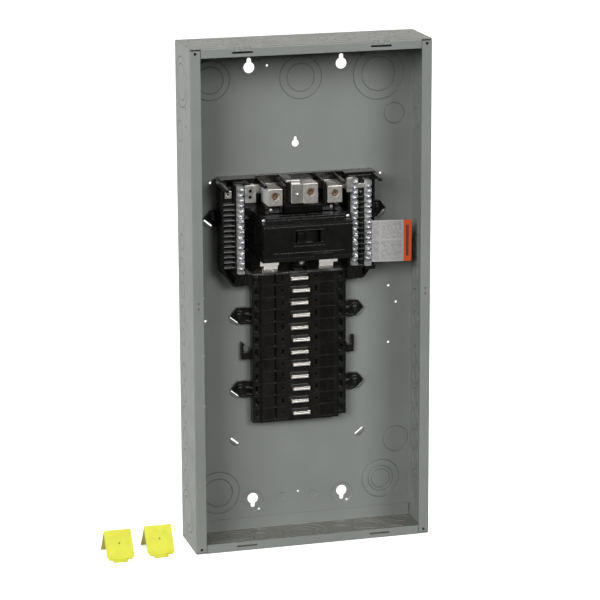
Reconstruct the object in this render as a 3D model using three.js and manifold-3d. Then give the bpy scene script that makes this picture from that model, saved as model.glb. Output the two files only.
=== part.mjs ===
// Residential load center: open sheet-steel box, plug-on interior, two-pole main breaker.
// Millimetres, +Z up, +X right as seen from the front, +Y into the wall.
// Origin: centre of the box's back face. Names: "left" and "right" are as seen from the front.
import * as THREE from 'three';
import * as BufferGeometryUtils from 'three/addons/utils/BufferGeometryUtils.js';
import Module from 'manifold-3d';

const wasm = await Module();
wasm.setup();

// ---------------------------------------------------------------- driving dimensions
const GAP = 0.3; // clearance between pieces that touch
const JOIN = 0.4; // how far two shapes of one piece reach into each other

const BOX_WIDTH = 362;
const BOX_HEIGHT = 758.4;
const BOX_DEPTH = 95.25;
const SHEET = 1.5;
const SIDE_FLANGE = 15.5;
const END_FLANGE = 14;
const BACK_FLANGE = 19;
const BACK_FLANGE_END_GAP = 1.2; // between the back flange's end and the side wall
const COVER_SCREW = { x: 173, z: 372, radius: 2.2 };
const FLANGE_SLOT = { x: 103.5, z: 371.5, length: 31, height: 3 };
const KEYHOLE = { x: 70.4, topZ: 333.3, bottomZ: -330.5, radius: 8.3, neckHalfWidth: 3.3, neck: 11.2 };
const SLANTED_SLOT = {
  length: 15, height: 2.4, angle: 39, railX: 98, railZ: [-48, -162.3, -236.6], besideEar: 7, belowEar: 9.6,
};

const POLE_PITCH = 19.05; // spacing of the breaker positions
const POLES_PER_MODULE = 6;
const RAIL_MODULE_LENGTH = POLE_PITCH * POLES_PER_MODULE;
const RAIL_TOP_Z = 22.6;
const RAIL_HALF_WIDTH = 73;
const RAIL_FRONT = -18.5; // front face of the rail's middle
const RAIL_STEP_FRONT = -15.5; // front face of the lower steps at its sides
const STAB_TIP = -26;
const STAB = { inner: 11.9, outer: 14.5, halfHeight: 2.4, footFront: -12.5 };
const POCKET = { inner: 12.6, outer: 15.2, halfHeight: 4.2, back: -10 };
const INTERIOR_BACK = -2.1;
const BASE_FLOOR_FRONT = -5.1;
const FOOT_FRONT = -8; // front face of the screwed ears
const EAR_X = 90;
const EAR_DROP = 61.1; // from a module's top edge down to its ear screws

const BASE_LEFT = -122;
const BASE_RIGHT = 116;
const BASE_TOP = 173.5;
const BASE_BOTTOM = 9;
const UPPER_EARS = { left: -128.5, right: 124, z: 113.5 };
const PEDESTAL_FRONT = -30; // front of the blocks that take the hold-down and line terminal screws
const HOLD_DOWN_Z = 43.3;
const LINE_TERMINAL = { x: 46.4, z: 124 };
const COMB_PITCH = 7.94; // spacing of the wire positions on comb and neutral bars
const COMB_RIBS = 13;

const BAR_BACK = -26.3;
const BAR_FRONT = -36;
const NEUTRAL_BARS = {
  neutral_bar_left: { left: -98, right: -88.3, bottom: 31, top: 163 },
  neutral_bar_right: { left: 77.3, right: 86.3, bottom: 33, top: 165 },
  neutral_bar_far_right: { left: 98.5, right: 107.5, bottom: 31, top: 161 },
};

const LUG_X = 45.6; // middle of the two line poles, left and right
const LUG = { width: 22, bottom: 135, top: 160.4, back: -11, front: -54 };
const LUG_SCREW_Z = 149.2;
const LINE_BORE_Y = -26; // depth of the wire bore's centre line
const NEUTRAL_LUG = { width: 22, middleX: 8.6, bottom: 136, top: 166, back: -22, front: -54, screwZ: 153 };
const NEUTRAL_BORE_Y = -36;
const NEUTRAL_SCREW = { x: -12.2, z: 150 }; // holds the neutral lug's tang to its strap
const NEUTRAL_STRAP = {
  run: { bottom: 146, top: 160 },
  back: BASE_FLOOR_FRONT - GAP,
  thickness: 2.5,
};
const SET_SCREW_RADIUS = 5;

const BREAKER = { halfWidth: 68, bottom: 52, top: 118, back: -5.4, split: -44, front: -71 };
const FACE = { bottom: 59.5, top: 109.5 }; // the raised part of the breaker's cover
const COVER_SHOULDER = -56;
const COVER_SCREW_AT = { x: 64.4, z: 114.3 };
const WINDOW = { halfWidth: 19, bottom: 81, top: 99 };
const HANDLE_PIVOT_Y = -30;
const HANDLE_REACH = 47;
const HANDLE_REST_ANGLE = -15; // degrees from straight ahead, towards the left
const CROSSBAR = { y: -26, z: 68, radius: 4 };
const ARMS_OPEN_ANGLE = 20; // degrees the contact arms stand away from the fixed contacts at rest

// Loose barrier, in section from its foot tab over the ridge to the back flap.
const BARRIER = {
  width: 40.5, ridgeY: -57.5, ridgeZ: 38.7, footY: -83.5, flapY: -30.5, thickness: 1.8, tab: 11.5, crease: 7,
};
const BARRIER_PLACES = {
  line_barrier_left: { x: -293.5, y: 0 },
  line_barrier_right: { x: -231.5, y: 4 },
};
const CARD = { left: 107.9, right: 167.5, bottom: 36, top: 99.6, back: -34, lean: 9.5, thickness: 0.6 };

const FLOOR_Z = -BOX_HEIGHT / 2;
const HALF_WIDTH = BOX_WIDTH / 2;
const HALF_HEIGHT = BOX_HEIGHT / 2;

// ---------------------------------------------------------------- materials
function finish(color, roughness, metalness) {
  return new THREE.MeshStandardMaterial({ color, roughness, metalness });
}

const paintedSteel = finish(0x7c817d, 0.5, 0.1);
const blackPlastic = finish(0x1b1b1a, 0.45, 0);
const breakerPlastic = finish(0x222221, 0.5, 0);
const aluminium = finish(0xb4ada4, 0.35, 0.9);
const tinPlate = finish(0xcfcac2, 0.3, 0.9);
const zincSteel = finish(0xb8b9ba, 0.35, 0.9);
const blackSteel = finish(0x2c2b2a, 0.4, 0.8);
const copper = finish(0xb87552, 0.35, 0.95);
const fibre = finish(0x6f6a60, 0.9, 0);
const card = finish(0xa9aaaa, 0.85, 0);
const yellowPlastic = finish(0xe6e640, 0.45, 0);

// ---------------------------------------------------------------- shape helpers
// A box from its two corners on each axis.
function block(x0, x1, y0, y1, z0, z1) {
  const geometry = new THREE.BoxGeometry(Math.abs(x1 - x0), Math.abs(y1 - y0), Math.abs(z1 - z0));
  return geometry.translate((x0 + x1) / 2, (y0 + y1) / 2, (z0 + z1) / 2);
}

function polygon(points) {
  return new THREE.Shape(points.map(([a, b]) => new THREE.Vector2(a, b)));
}

// An outline in X and Z, made into a plate between two depths.
function plateFacingFront(shape, back, front, curveSegments = 8) {
  const options = { depth: back - front, bevelEnabled: false, curveSegments };
  return new THREE.ExtrudeGeometry(shape, options).rotateX(Math.PI / 2).translate(0, back, 0);
}

// An outline in Y and Z, made into a bar between two X positions.
function barAlongX(points, x0, x1) {
  const geometry = new THREE.ExtrudeGeometry(polygon(points), { depth: x1 - x0, bevelEnabled: false });
  const basis = new THREE.Matrix4().makeBasis(
    new THREE.Vector3(0, 1, 0), new THREE.Vector3(0, 0, 1), new THREE.Vector3(1, 0, 0));
  return geometry.applyMatrix4(basis).translate(x0, 0, 0);
}

// An outline in X and Y, made into a bar between two heights.
function barAlongZ(points, z0, z1) {
  const geometry = new THREE.ExtrudeGeometry(polygon(points), { depth: z1 - z0, bevelEnabled: false });
  return geometry.translate(0, 0, z0);
}

function rodAlongX(radius, x0, x1, y, z, segments = 16) {
  const rod = new THREE.CylinderGeometry(radius, radius, x1 - x0, segments);
  return rod.rotateZ(Math.PI / 2).translate((x0 + x1) / 2, y, z);
}

function rodAlongY(radius, back, front, x, z, segments = 16) {
  const rod = new THREE.CylinderGeometry(radius, radius, back - front, segments);
  return rod.translate(x, (back + front) / 2, z);
}

function rodAlongZ(radius, z0, z1, x, y, segments = 16) {
  const rod = new THREE.CylinderGeometry(radius, radius, z1 - z0, segments);
  return rod.rotateX(Math.PI / 2).translate(x, y, (z0 + z1) / 2);
}

function asManifold(geometry) {
  const bare = geometry.clone();
  bare.deleteAttribute('normal');
  bare.deleteAttribute('uv');
  const merged = BufferGeometryUtils.mergeVertices(bare, 1e-4);
  return new wasm.Manifold(new wasm.Mesh({
    numProp: 3,
    vertProperties: new Float32Array(merged.attributes.position.array),
    triVerts: new Uint32Array(merged.index.array),
  }));
}

function asGeometry(solid) {
  const mesh = solid.getMesh();
  const geometry = new THREE.BufferGeometry();
  geometry.setAttribute('position', new THREE.BufferAttribute(mesh.vertProperties, 3));
  geometry.setIndex(new THREE.BufferAttribute(mesh.triVerts, 1));
  geometry.computeVertexNormals();
  return geometry;
}

// Joins the first list of shapes and cuts the second list out of the result.
function build(added, removed = []) {
  let solid = asManifold(added[0]);
  for (const geometry of added.slice(1)) {
    solid = solid.add(asManifold(geometry));
  }
  for (const geometry of removed) {
    solid = solid.subtract(asManifold(geometry));
  }
  return asGeometry(solid);
}

const loadCenter = new THREE.Group();

function addPart(name, geometry, material, parent = loadCenter) {
  const mesh = new THREE.Mesh(geometry, material);
  mesh.name = name;
  parent.add(mesh);
  return mesh;
}

// ---------------------------------------------------------------- enclosure
// Keyhole through the back: a round bulb with a narrow neck, for hanging the box on a screw.
// The neck points up when neckLength is positive and down when it is negative.
function keyhole(x, z, bulbRadius, neckHalfWidth, neckLength) {
  const low = Math.min(z, z + neckLength);
  const high = Math.max(z, z + neckLength);
  return [
    rodAlongY(bulbRadius, JOIN, -SHEET - JOIN, x, z, 20),
    block(x - neckHalfWidth, x + neckHalfWidth, JOIN, -SHEET - JOIN, low, high),
  ];
}

// Slanted slot lanced through the back beside an ear of the interior.
function slantedSlot(side, x, z) {
  const { length, height, angle } = SLANTED_SLOT;
  const slot = block(-length / 2, length / 2, JOIN, -SHEET - JOIN, -height / 2, height / 2);
  return slot.rotateY(THREE.MathUtils.degToRad(-side * angle)).translate(side * x, 0, z);
}

function earScrewSpots() {
  const spots = [];
  for (const [hand, side] of [['left', -1], ['right', 1]]) {
    spots.push({ name: `upper_ear_screw_${hand}`, x: UPPER_EARS[hand], z: UPPER_EARS.z });
    for (const [index, level] of ['upper', 'lower'].entries()) {
      const z = RAIL_TOP_Z - EAR_DROP - index * RAIL_MODULE_LENGTH;
      spots.push({ name: `rail_screw_${level}_${hand}`, x: side * EAR_X, z });
    }
  }
  return spots;
}

function backOpenings() {
  const cuts = [];
  for (const side of [-1, 1]) {
    const { x, topZ, bottomZ, radius, neckHalfWidth, neck } = KEYHOLE;
    cuts.push(...keyhole(side * x, topZ, radius, neckHalfWidth, neck));
    cuts.push(...keyhole(side * x, bottomZ, radius, neckHalfWidth, -neck));
    for (const z of SLANTED_SLOT.railZ) {
      cuts.push(slantedSlot(side, SLANTED_SLOT.railX, z));
    }
    const baseEarX = Math.abs(side < 0 ? UPPER_EARS.left : UPPER_EARS.right);
    const { besideEar, belowEar } = SLANTED_SLOT;
    cuts.push(slantedSlot(side, baseEarX + besideEar, UPPER_EARS.z - belowEar));
  }
  cuts.push(...keyhole(-0.7, 217, 5.4, 2.5, 9));
  const smallHoles = [
    [-43.2, 335.2], [-60.9, -348.5], [78.9, -346], [1.1, -325.5], [-131.2, 164.5], [131.2, 164.5],
    [144.7, -10.8], [-144.7, -10.8], [156.7, -37], [-140.9, -46], [144.7, -99.6], [-144.7, -99.6],
    [-144.7, -178.7],
  ];
  for (const [x, z] of smallHoles) {
    cuts.push(rodAlongY(1.8, JOIN, -SHEET - JOIN, x, z, 10));
  }
  for (const spot of earScrewSpots()) {
    cuts.push(rodAlongY(2.6, JOIN, -SHEET - JOIN, spot.x, spot.z, 12));
  }
  return cuts;
}

function enclosureWrap() {
  const inner = HALF_WIDTH - SHEET;
  const lip = HALF_WIDTH - SIDE_FLANGE;
  const lipBack = -BOX_DEPTH + SHEET;
  const section = [
    [-HALF_WIDTH, 0], [-HALF_WIDTH, -BOX_DEPTH], [-lip, -BOX_DEPTH], [-lip, lipBack], [-inner, lipBack],
    [-inner, -SHEET], [inner, -SHEET], [inner, lipBack], [lip, lipBack], [lip, -BOX_DEPTH],
    [HALF_WIDTH, -BOX_DEPTH], [HALF_WIDTH, 0],
  ];
  const cuts = backOpenings();
  for (const side of [-1, 1]) {
    const x = side * COVER_SCREW.x;
    const flangeHole = (radius, z) => rodAlongY(radius, lipBack + JOIN, -BOX_DEPTH - JOIN, x, z, 12);
    cuts.push(flangeHole(COVER_SCREW.radius, COVER_SCREW.z), flangeHole(COVER_SCREW.radius, -COVER_SCREW.z));
    // Pair of small holes half way up.
    cuts.push(flangeHole(1.4, 6), flangeHole(1.4, -2));
  }
  return build([barAlongZ(section, -HALF_HEIGHT, HALF_HEIGHT)], cuts);
}

// End wall: a channel with a front flange between the side flanges and a flange along the back.
function endWall(isTop) {
  const side = HALF_WIDTH - SHEET - GAP;
  const flangeSide = HALF_WIDTH - SIDE_FLANGE - GAP;
  const backSide = side - BACK_FLANGE_END_GAP;
  const back = -SHEET - GAP;
  const front = -BOX_DEPTH;
  const behindSideFlange = front + SHEET + GAP;
  const outer = HALF_HEIGHT;
  const shapes = [
    block(-side, side, back, behindSideFlange, outer - SHEET, outer),
    block(-flangeSide, flangeSide, behindSideFlange + JOIN, front, outer - SHEET, outer),
    block(-flangeSide, flangeSide, front + SHEET, front, outer - END_FLANGE, outer - SHEET + JOIN),
    block(-backSide, backSide, back, back - SHEET, outer - BACK_FLANGE, outer - SHEET + JOIN),
  ];
  const cuts = [];
  const half = FLANGE_SLOT.length / 2;
  const bottom = FLANGE_SLOT.z - FLANGE_SLOT.height / 2;
  const top = bottom + FLANGE_SLOT.height;
  for (const x of [-FLANGE_SLOT.x, FLANGE_SLOT.x]) {
    cuts.push(block(x - half, x + half, front + SHEET + JOIN, front - JOIN, bottom, top));
  }
  const geometry = build(shapes, cuts);
  return isTop ? geometry : asGeometry(asManifold(geometry).mirror([0, 0, 1]));
}

// ---------------------------------------------------------------- interior mouldings
// Ear of the interior with its screw hole, for one side.
function ear(side, rootX, x, z) {
  const points = [
    [rootX, z + 10], [x - 8, z + 12], [x + 4, z + 11], [x + 14, z - 1], [x, z - 14], [x - 8, z - 15],
    [rootX, z - 13],
  ];
  const plate = plateFacingFront(polygon(points), INTERIOR_BACK, FOOT_FRONT);
  return side > 0 ? plate : asGeometry(asManifold(plate).mirror([1, 0, 0]));
}

function earScrewHole(x, z) {
  return rodAlongY(2.7, 0, FOOT_FRONT - JOIN, x, z, 12);
}

// The left tray carries one neutral bar, the right tray two.
function barTrays() {
  const trayFront = BAR_BACK + GAP;
  return [
    block(-101, -85, BASE_FLOOR_FRONT + JOIN, trayFront, 27, 168),
    block(74, 113, BASE_FLOOR_FRONT + JOIN, trayFront, 27, 168),
  ];
}

function comb() {
  const shapes = [block(-119.4, -100.6, BASE_FLOOR_FRONT + JOIN, -25, 37, 160)];
  for (let index = 0; index < COMB_RIBS; index += 1) {
    const z = 40 + index * COMB_PITCH;
    shapes.push(block(-119.4, -101.5, -25 + JOIN, -31, z - 1.3, z + 1.3));
  }
  return shapes;
}

// Ribs between the two right-hand bars, leaving room for the link that joins them.
function rightRibs() {
  const shapes = [];
  for (let index = 0; index < COMB_RIBS; index += 1) {
    const z = 40 + index * COMB_PITCH;
    shapes.push(block(88, 96.8, BAR_BACK + GAP + JOIN, -33, z - 1.3, z + 1.3));
  }
  return shapes;
}

// Walls and hoods that keep the line lugs apart from the neutral lug.
function lugBarriers() {
  const root = BASE_FLOOR_FRONT + JOIN;
  const shapes = [
    block(-27, 21, root, -44.7, 131, 168),
    block(-125.5, -121, root, -76, 164, 170),
    block(112, 116, root, -60, 164, 170),
  ];
  for (const side of [-1, 1]) {
    const wall = side * 31.1;
    const hood = side * 59.7;
    shapes.push(block(wall - 1.5, wall + 1.5, root, LUG.front, 119.5, 167));
    shapes.push(block(hood - 2.2, hood + 2.2, root, LUG.front, 161, 167));
    // Ledge of the line terminal below the lug.
    shapes.push(block(side * 33, side * 56, root, PEDESTAL_FRONT, 119, 132));
  }
  return shapes;
}

function upperBase() {
  const floorOutline = polygon([
    [BASE_LEFT, BASE_TOP], [BASE_RIGHT, BASE_TOP], [BASE_RIGHT, 26], [100, BASE_BOTTOM], [74, BASE_BOTTOM],
    [74, RAIL_TOP_Z + 0.6], [-74, RAIL_TOP_Z + 0.6], [-74, BASE_BOTTOM], [-101, BASE_BOTTOM], [BASE_LEFT, 34],
  ]);
  const root = BASE_FLOOR_FRONT + JOIN;
  const shapes = [
    plateFacingFront(floorOutline, INTERIOR_BACK, BASE_FLOOR_FRONT),
    block(BASE_LEFT, -119, root, -33, 36, BASE_TOP),
    block(113 - JOIN, BASE_RIGHT, root, -24, 30, BASE_TOP),
    // Top wall, low in the middle where the supply wires come in.
    block(BASE_LEFT, BASE_RIGHT, root, -12, 171.2, BASE_TOP),
    block(BASE_LEFT, -68, root, -27, 171.2, BASE_TOP),
    block(68, BASE_RIGHT, root, -27, 171.2, BASE_TOP),
    block(-100, -74, root, -22, BASE_BOTTOM, 27 + JOIN),
    block(74, 98, root, -22, BASE_BOTTOM, 27 + JOIN),
    block(-10, 10, root, PEDESTAL_FRONT, HOLD_DOWN_Z - 7, HOLD_DOWN_Z + 7),
    ...barTrays(),
    ...comb(),
    ...rightRibs(),
    ...lugBarriers(),
    ear(-1, 121, -UPPER_EARS.left, UPPER_EARS.z),
    ear(1, 115, UPPER_EARS.right, UPPER_EARS.z),
  ];
  const strapZ = NEUTRAL_STRAP.run;
  const cuts = [
    // Channel for the neutral cross strap.
    block(-85, 74, BASE_FLOOR_FRONT, -8.3, strapZ.bottom - GAP, strapZ.top + GAP),
    block(-28.3, -17.7, BASE_FLOOR_FRONT, -8.3, strapZ.top, 171),
    // Room for the neutral lug, and for the lug screws' straps under the ledges.
    block(-4, 21 + JOIN, -21.7, -44.7 - JOIN, 131 - JOIN, 168 + JOIN),
    block(-LUG_X - 10.5, -LUG_X + 10.5, -8, -11, 118, 133),
    block(LUG_X - 10.5, LUG_X + 10.5, -8, -11, 118, 133),
    // Pocket for the clip on the comb.
    block(-116, -104.9, -25, -26, 144.7, 156.3),
    // Hole for the hold-down screw.
    rodAlongY(2.4, -14, PEDESTAL_FRONT - JOIN, 0, HOLD_DOWN_Z, 12),
    earScrewHole(UPPER_EARS.left, UPPER_EARS.z),
    earScrewHole(UPPER_EARS.right, UPPER_EARS.z),
  ];
  for (const side of [-1, 1]) {
    cuts.push(rodAlongY(2, -14, PEDESTAL_FRONT - JOIN, side * LINE_TERMINAL.x, LINE_TERMINAL.z, 12));
  }
  return build(shapes, cuts);
}

function stabZ(index) {
  return RAIL_TOP_Z - POLE_PITCH * (index + 0.5) + 3;
}

// One rail module: a hollow beam that holds six breaker positions on each side.
function railModule(moduleIndex, hasLatch) {
  const top = RAIL_TOP_Z - moduleIndex * (RAIL_MODULE_LENGTH + GAP / 2) - (moduleIndex ? GAP / 2 : 0);
  const bottom = RAIL_TOP_Z - (moduleIndex + 1) * RAIL_MODULE_LENGTH;
  const section = [
    [-73, INTERIOR_BACK], [-73, RAIL_STEP_FRONT], [-60, RAIL_STEP_FRONT], [-60, RAIL_FRONT], [60, RAIL_FRONT],
    [60, RAIL_STEP_FRONT], [73, RAIL_STEP_FRONT], [73, INTERIOR_BACK],
  ];
  const shapes = [barAlongZ(section, bottom, top)];
  const cuts = [block(-70.5, 70.5, INTERIOR_BACK - 2.5, RAIL_STEP_FRONT + 2.5, bottom - JOIN, top + JOIN)];
  const screwZ = RAIL_TOP_Z - EAR_DROP - moduleIndex * RAIL_MODULE_LENGTH;
  for (const side of [-1, 1]) {
    shapes.push(ear(side, RAIL_HALF_WIDTH - JOIN, EAR_X, screwZ));
    cuts.push(earScrewHole(side * EAR_X, screwZ));
    if (hasLatch) {
      // The right-hand step ends a little higher than the rest.
      cuts.push(block(60, RAIL_HALF_WIDTH + 1, 0, RAIL_STEP_FRONT - 1, bottom - JOIN, bottom + 3.5));
      const inner = side * (RAIL_HALF_WIDTH - JOIN);
      shapes.push(block(inner, side * 88, INTERIOR_BACK, -9, top - 16, top - 3));
      shapes.push(block(side * 84, side * 88, INTERIOR_BACK, -9, top - 4, top + 11));
    }
  }
  for (let index = 0; index < POLES_PER_MODULE; index += 1) {
    const pole = moduleIndex * POLES_PER_MODULE + index;
    const z = stabZ(pole);
    const shift = pole % 2 === 0 ? -1 : 1;
    const { inner, outer, halfHeight, back } = POCKET;
    cuts.push(block(-shift * inner, shift * outer, back, RAIL_FRONT - JOIN, z - halfHeight, z + halfHeight));
    for (const side of [-1, 1]) {
      cuts.push(block(side * 62.5, side * 68.5, -10, RAIL_STEP_FRONT - JOIN, z - 5, z + 5));
      cuts.push(block(side * 25, side * 27, -10, RAIL_FRONT - JOIN, z - 4, z + 4));
    }
  }
  return build(shapes, cuts);
}

// ---------------------------------------------------------------- conductors
// Bus bar with six stabs and a tongue that reaches the main breaker. side -1 is pole A, 1 is pole B.
function busBar(side) {
  const back = BASE_FLOOR_FRONT - GAP;
  const front = back - 3;
  const lastStab = stabZ(2 * POLES_PER_MODULE - 1);
  const shapes = [
    block(side * 15, side * 24, back, front, lastStab - 5, 30),
    block(side * 15, side * 55, back, front, 24, 31),
    block(side * 33, side * 54, back, -14, 28.4, 31),
    block(side * 32, side * 54, -11.5, -14, 24, 38),
  ];
  for (let pole = side < 0 ? 0 : 1; pole < 2 * POLES_PER_MODULE; pole += 2) {
    const z = stabZ(pole);
    const { inner, outer, halfHeight, footFront } = STAB;
    const low = z - halfHeight;
    const high = z + halfHeight;
    shapes.push(block(-side * inner, side * 20, -6, footFront, low, high));
    shapes.push(block(-side * inner, side * outer, footFront + JOIN, STAB_TIP, low, high));
    // The blade's end by its foot is a little wider.
    shapes.push(block(side * (outer - 2), side * outer, footFront, STAB_TIP, low - 0.6, high + 0.6));
  }
  return build(shapes);
}

function neutralStrap() {
  const { run, back, thickness } = NEUTRAL_STRAP;
  const front = back - thickness;
  return build([
    block(-84.6, 73.6, back, front, run.bottom, run.top),
    // Left tab with its two holes.
    block(-84.6, -82.1, back, -38.8, run.bottom, run.top),
    block(-87.7, -71, -36.3, -38.8, 139, 165),
    // Right tab.
    block(71.1, 73.6, back, -38.8, run.bottom, run.top),
    block(68, 77, -36.3, -38.8, 146, 168),
    // Middle riser, over the top of its pedestal and down its front.
    block(-28, -18, back, front, run.top - JOIN, 170.8),
    block(-28, -18, back, -47.7, 168.3, 170.8),
    block(-28, -6, -40, -47.7, 168.3, 170.8),
    block(-20, -6, -45, -47.7, 131, 170.8),
  ], [
    rodAlongY(2.6, -36, -39, -82, 155.7, 12),
    block(-85.2, -81, -36, -39, 145, 149),
    rodAlongY(2.2, -44, -48, NEUTRAL_SCREW.x, NEUTRAL_SCREW.z, 12),
  ]);
}

function neutralBar({ left, right, bottom, top }) {
  const shapes = [block(left, right, BAR_BACK, BAR_FRONT, bottom, top)];
  const cuts = [];
  const middle = (left + right) / 2;
  const count = Math.floor((top - bottom - 4) / COMB_PITCH);
  const first = (bottom + top) / 2 - ((count - 1) / 2) * COMB_PITCH;
  for (let index = 0; index < count; index += 1) {
    const z = first + index * COMB_PITCH;
    const offset = index % 2 === 0 ? -1.1 : 1.1;
    shapes.push(rodAlongY(2.9, BAR_FRONT + JOIN, BAR_FRONT - 2.4, middle + offset, z, 8));
    cuts.push(rodAlongX(2.6, left - JOIN, right + JOIN, BAR_BACK - 4.4, z, 8));
  }
  return build(shapes, cuts);
}

// Box lug: a wire bore from the top and a threaded hole for the set screw in front.
function boxLug(middleX, { width, bottom, top, back, front }, screwZ, boreDepth) {
  const body = block(middleX - width / 2, middleX + width / 2, back, front, bottom, top);
  const boreRadius = width * 0.36;
  return {
    added: [body],
    removed: [
      rodAlongZ(boreRadius, bottom - JOIN, top + JOIN, middleX, boreDepth, 24),
      rodAlongY(SET_SCREW_RADIUS + GAP, boreDepth, front - JOIN, middleX, screwZ, 24),
    ],
  };
}

function lineLug(side) {
  const { added, removed } = boxLug(side * LUG_X, LUG, LUG_SCREW_Z, LINE_BORE_Y);
  return build(added, removed);
}

function neutralLug() {
  const { added, removed } = boxLug(NEUTRAL_LUG.middleX, NEUTRAL_LUG, NEUTRAL_LUG.screwZ, NEUTRAL_BORE_Y);
  added.push(block(-20, -2, -48, -53, 137, 166));
  removed.push(rodAlongY(2.4, -47, -54, NEUTRAL_SCREW.x, NEUTRAL_SCREW.z, 12));
  return build(added, removed);
}

// Set screw with a hexagon socket; its mesh turns about its own axis.
function setScrewShape(tipDepth, headDepth) {
  const length = tipDepth - headDepth;
  const socket = new THREE.CylinderGeometry(2.4, 2.4, 6, 6).translate(0, headDepth + 2, 0);
  return build([
    new THREE.CylinderGeometry(SET_SCREW_RADIUS, SET_SCREW_RADIUS, length, 24)
      .translate(0, (tipDepth + headDepth) / 2, 0),
  ], [socket]);
}

// Pan head screw with a cross slot: shank towards the wall, head in front. y is the seat of the head.
function panScrew(seatY, shankEnd, headRadius, shankRadius) {
  const headHeight = headRadius * 0.6;
  const head = new THREE.CylinderGeometry(headRadius, headRadius * 0.72, headHeight, 16);
  const slotHalf = headRadius * 0.75;
  const slotFloor = seatY - headHeight * 0.55;
  const slot = block(-slotHalf, slotHalf, slotFloor, seatY - headHeight - 1, -0.45, 0.45);
  return build([
    head.translate(0, seatY - headHeight / 2, 0),
    rodAlongY(shankRadius, shankEnd, seatY - JOIN, 0, 0, 12),
  ], [slot, slot.clone().rotateY(Math.PI / 2)]);
}

function addScrew(name, x, z, seatY, shankEnd, headRadius, shankRadius, material = zincSteel) {
  const screw = addPart(name, panScrew(seatY, shankEnd, headRadius, shankRadius), material);
  screw.position.set(x, 0, z);
  return screw;
}

// ---------------------------------------------------------------- main breaker
const CAVITY = { halfWidth: 64, bottom: 55, top: 115, back: -8 };

function breakerBase() {
  const { halfWidth, bottom, top, back, split } = BREAKER;
  const shapes = [block(-halfWidth, halfWidth, back, split, bottom, top)];
  const cuts = [
    block(-CAVITY.halfWidth, CAVITY.halfWidth, CAVITY.back, split - JOIN, CAVITY.bottom, CAVITY.top),
  ];
  const wallBack = CAVITY.back + JOIN;
  const wallLow = CAVITY.bottom - JOIN;
  const wallHigh = CAVITY.top + JOIN;
  // Walls between the poles, with notches for the crossbar and the trip bar.
  const walls = [];
  const wallCuts = [];
  for (const side of [-1, 1]) {
    walls.push(block(side * 22, side * 24, wallBack, split, wallLow, wallHigh));
    wallCuts.push(block(side * 21, side * 25, -20, split - 1, CAVITY.bottom + 0.2, 76));
    // Line strap in at the top, load strap out at the bottom.
    const strapInner = side * (LUG_X - 10.3);
    const strapOuter = side * (LUG_X + 10.3);
    cuts.push(block(strapInner, strapOuter, CAVITY.back, -11, CAVITY.top - 1, top + 1));
    cuts.push(block(side * 30.7, side * 60.3, -14, -17.1, bottom - 1, CAVITY.bottom + 1));
  }
  // Shelves that hold the handle pin.
  walls.push(block(-22 - JOIN, 22 + JOIN, wallBack, -36, 74, 78));
  walls.push(block(-22 - JOIN, 22 + JOIN, wallBack, -36, 102, 106));
  wallCuts.push(rodAlongZ(2.9, 73, 107, 0, HANDLE_PIVOT_Y, 16));
  // Corner posts take the cover's screws.
  for (const side of [-1, 1]) {
    walls.push(block(side * 58, side * 64.5, wallBack, split, 109, 115.5));
    wallCuts.push(rodAlongY(1.9, -20, split - 1, side * COVER_SCREW_AT.x, COVER_SCREW_AT.z, 12));
  }
  return build([build(shapes, cuts), build(walls)], wallCuts);
}

function breakerCover() {
  const back = BREAKER.split - GAP;
  const { halfWidth, front, bottom, top } = BREAKER;
  const side = [
    [back, bottom], [-64, bottom], [front, FACE.bottom], [front, FACE.top - 3], [front + 4, FACE.top],
    [-62, FACE.top + 1], [COVER_SHOULDER, FACE.top + 2], [COVER_SHOULDER, top], [back, top],
  ];
  const hollow = [
    [back + JOIN, CAVITY.bottom], [-62.5, CAVITY.bottom], [-68, FACE.bottom + 2], [-68, FACE.top - 4],
    [-60, FACE.top - 2], [COVER_SHOULDER + 3, FACE.top], [COVER_SHOULDER + 3, CAVITY.top],
    [back + JOIN, CAVITY.top],
  ];
  const shell = build([barAlongX(side, -halfWidth, halfWidth)], [
    barAlongX(hollow, -CAVITY.halfWidth, CAVITY.halfWidth),
    block(-WINDOW.halfWidth, WINDOW.halfWidth, -60, front - 1, WINDOW.bottom, WINDOW.top),
    // Shallow field around the window.
    block(-27, 27, front + 1, front - 1, 79.5, 100.5),
    // Low step in the face's lower edge.
    block(10, 36, front + 2, front - 1, bottom, FACE.bottom + 4),
  ]);
  const posts = [];
  const screwHoles = [];
  const { x, z } = COVER_SCREW_AT;
  for (const sign of [-1, 1]) {
    posts.push(block(sign * 58, sign * 64.5, back, COVER_SHOULDER + 2, 109, 115.5));
    screwHoles.push(rodAlongY(2, back + JOIN, COVER_SHOULDER - JOIN, sign * x, z, 12));
  }
  return build([shell, ...posts], screwHoles);
}

// Handle about its pin: hub, lever, and a curved shield that keeps the window closed.
function handleShape() {
  const shieldOuter = 37;
  const shieldInner = 35;
  const halfAngle = THREE.MathUtils.degToRad(46);
  const shield = new THREE.Shape();
  const start = -Math.PI / 2 - halfAngle;
  const end = -Math.PI / 2 + halfAngle;
  shield.absarc(0, 0, shieldOuter, start, end, false);
  shield.absarc(0, 0, shieldInner, end, start, true);
  const low = WINDOW.bottom + 0.6;
  const high = WINDOW.top - 0.6;
  const shieldGeometry = new THREE.ExtrudeGeometry(shield, {
    depth: high - low + 3, bevelEnabled: false, curveSegments: 20,
  }).translate(0, 0, low - 1.5);
  return build([
    rodAlongZ(7, low + 1, high - 1, 0, 0, 20),
    block(-3, 3, -4, -shieldInner - 1, low + 1, high - 1),
    shieldGeometry,
    block(-4.2, 4.2, -shieldInner - 1, -HANDLE_REACH + 1, low + 1, high - 1),
    block(-3.2, 3.2, -HANDLE_REACH + 1 + JOIN, -HANDLE_REACH, low + 2, high - 2),
  ], [rodAlongZ(2.9, low - 1, high + 1, 0, 0, 16)]);
}

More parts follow.
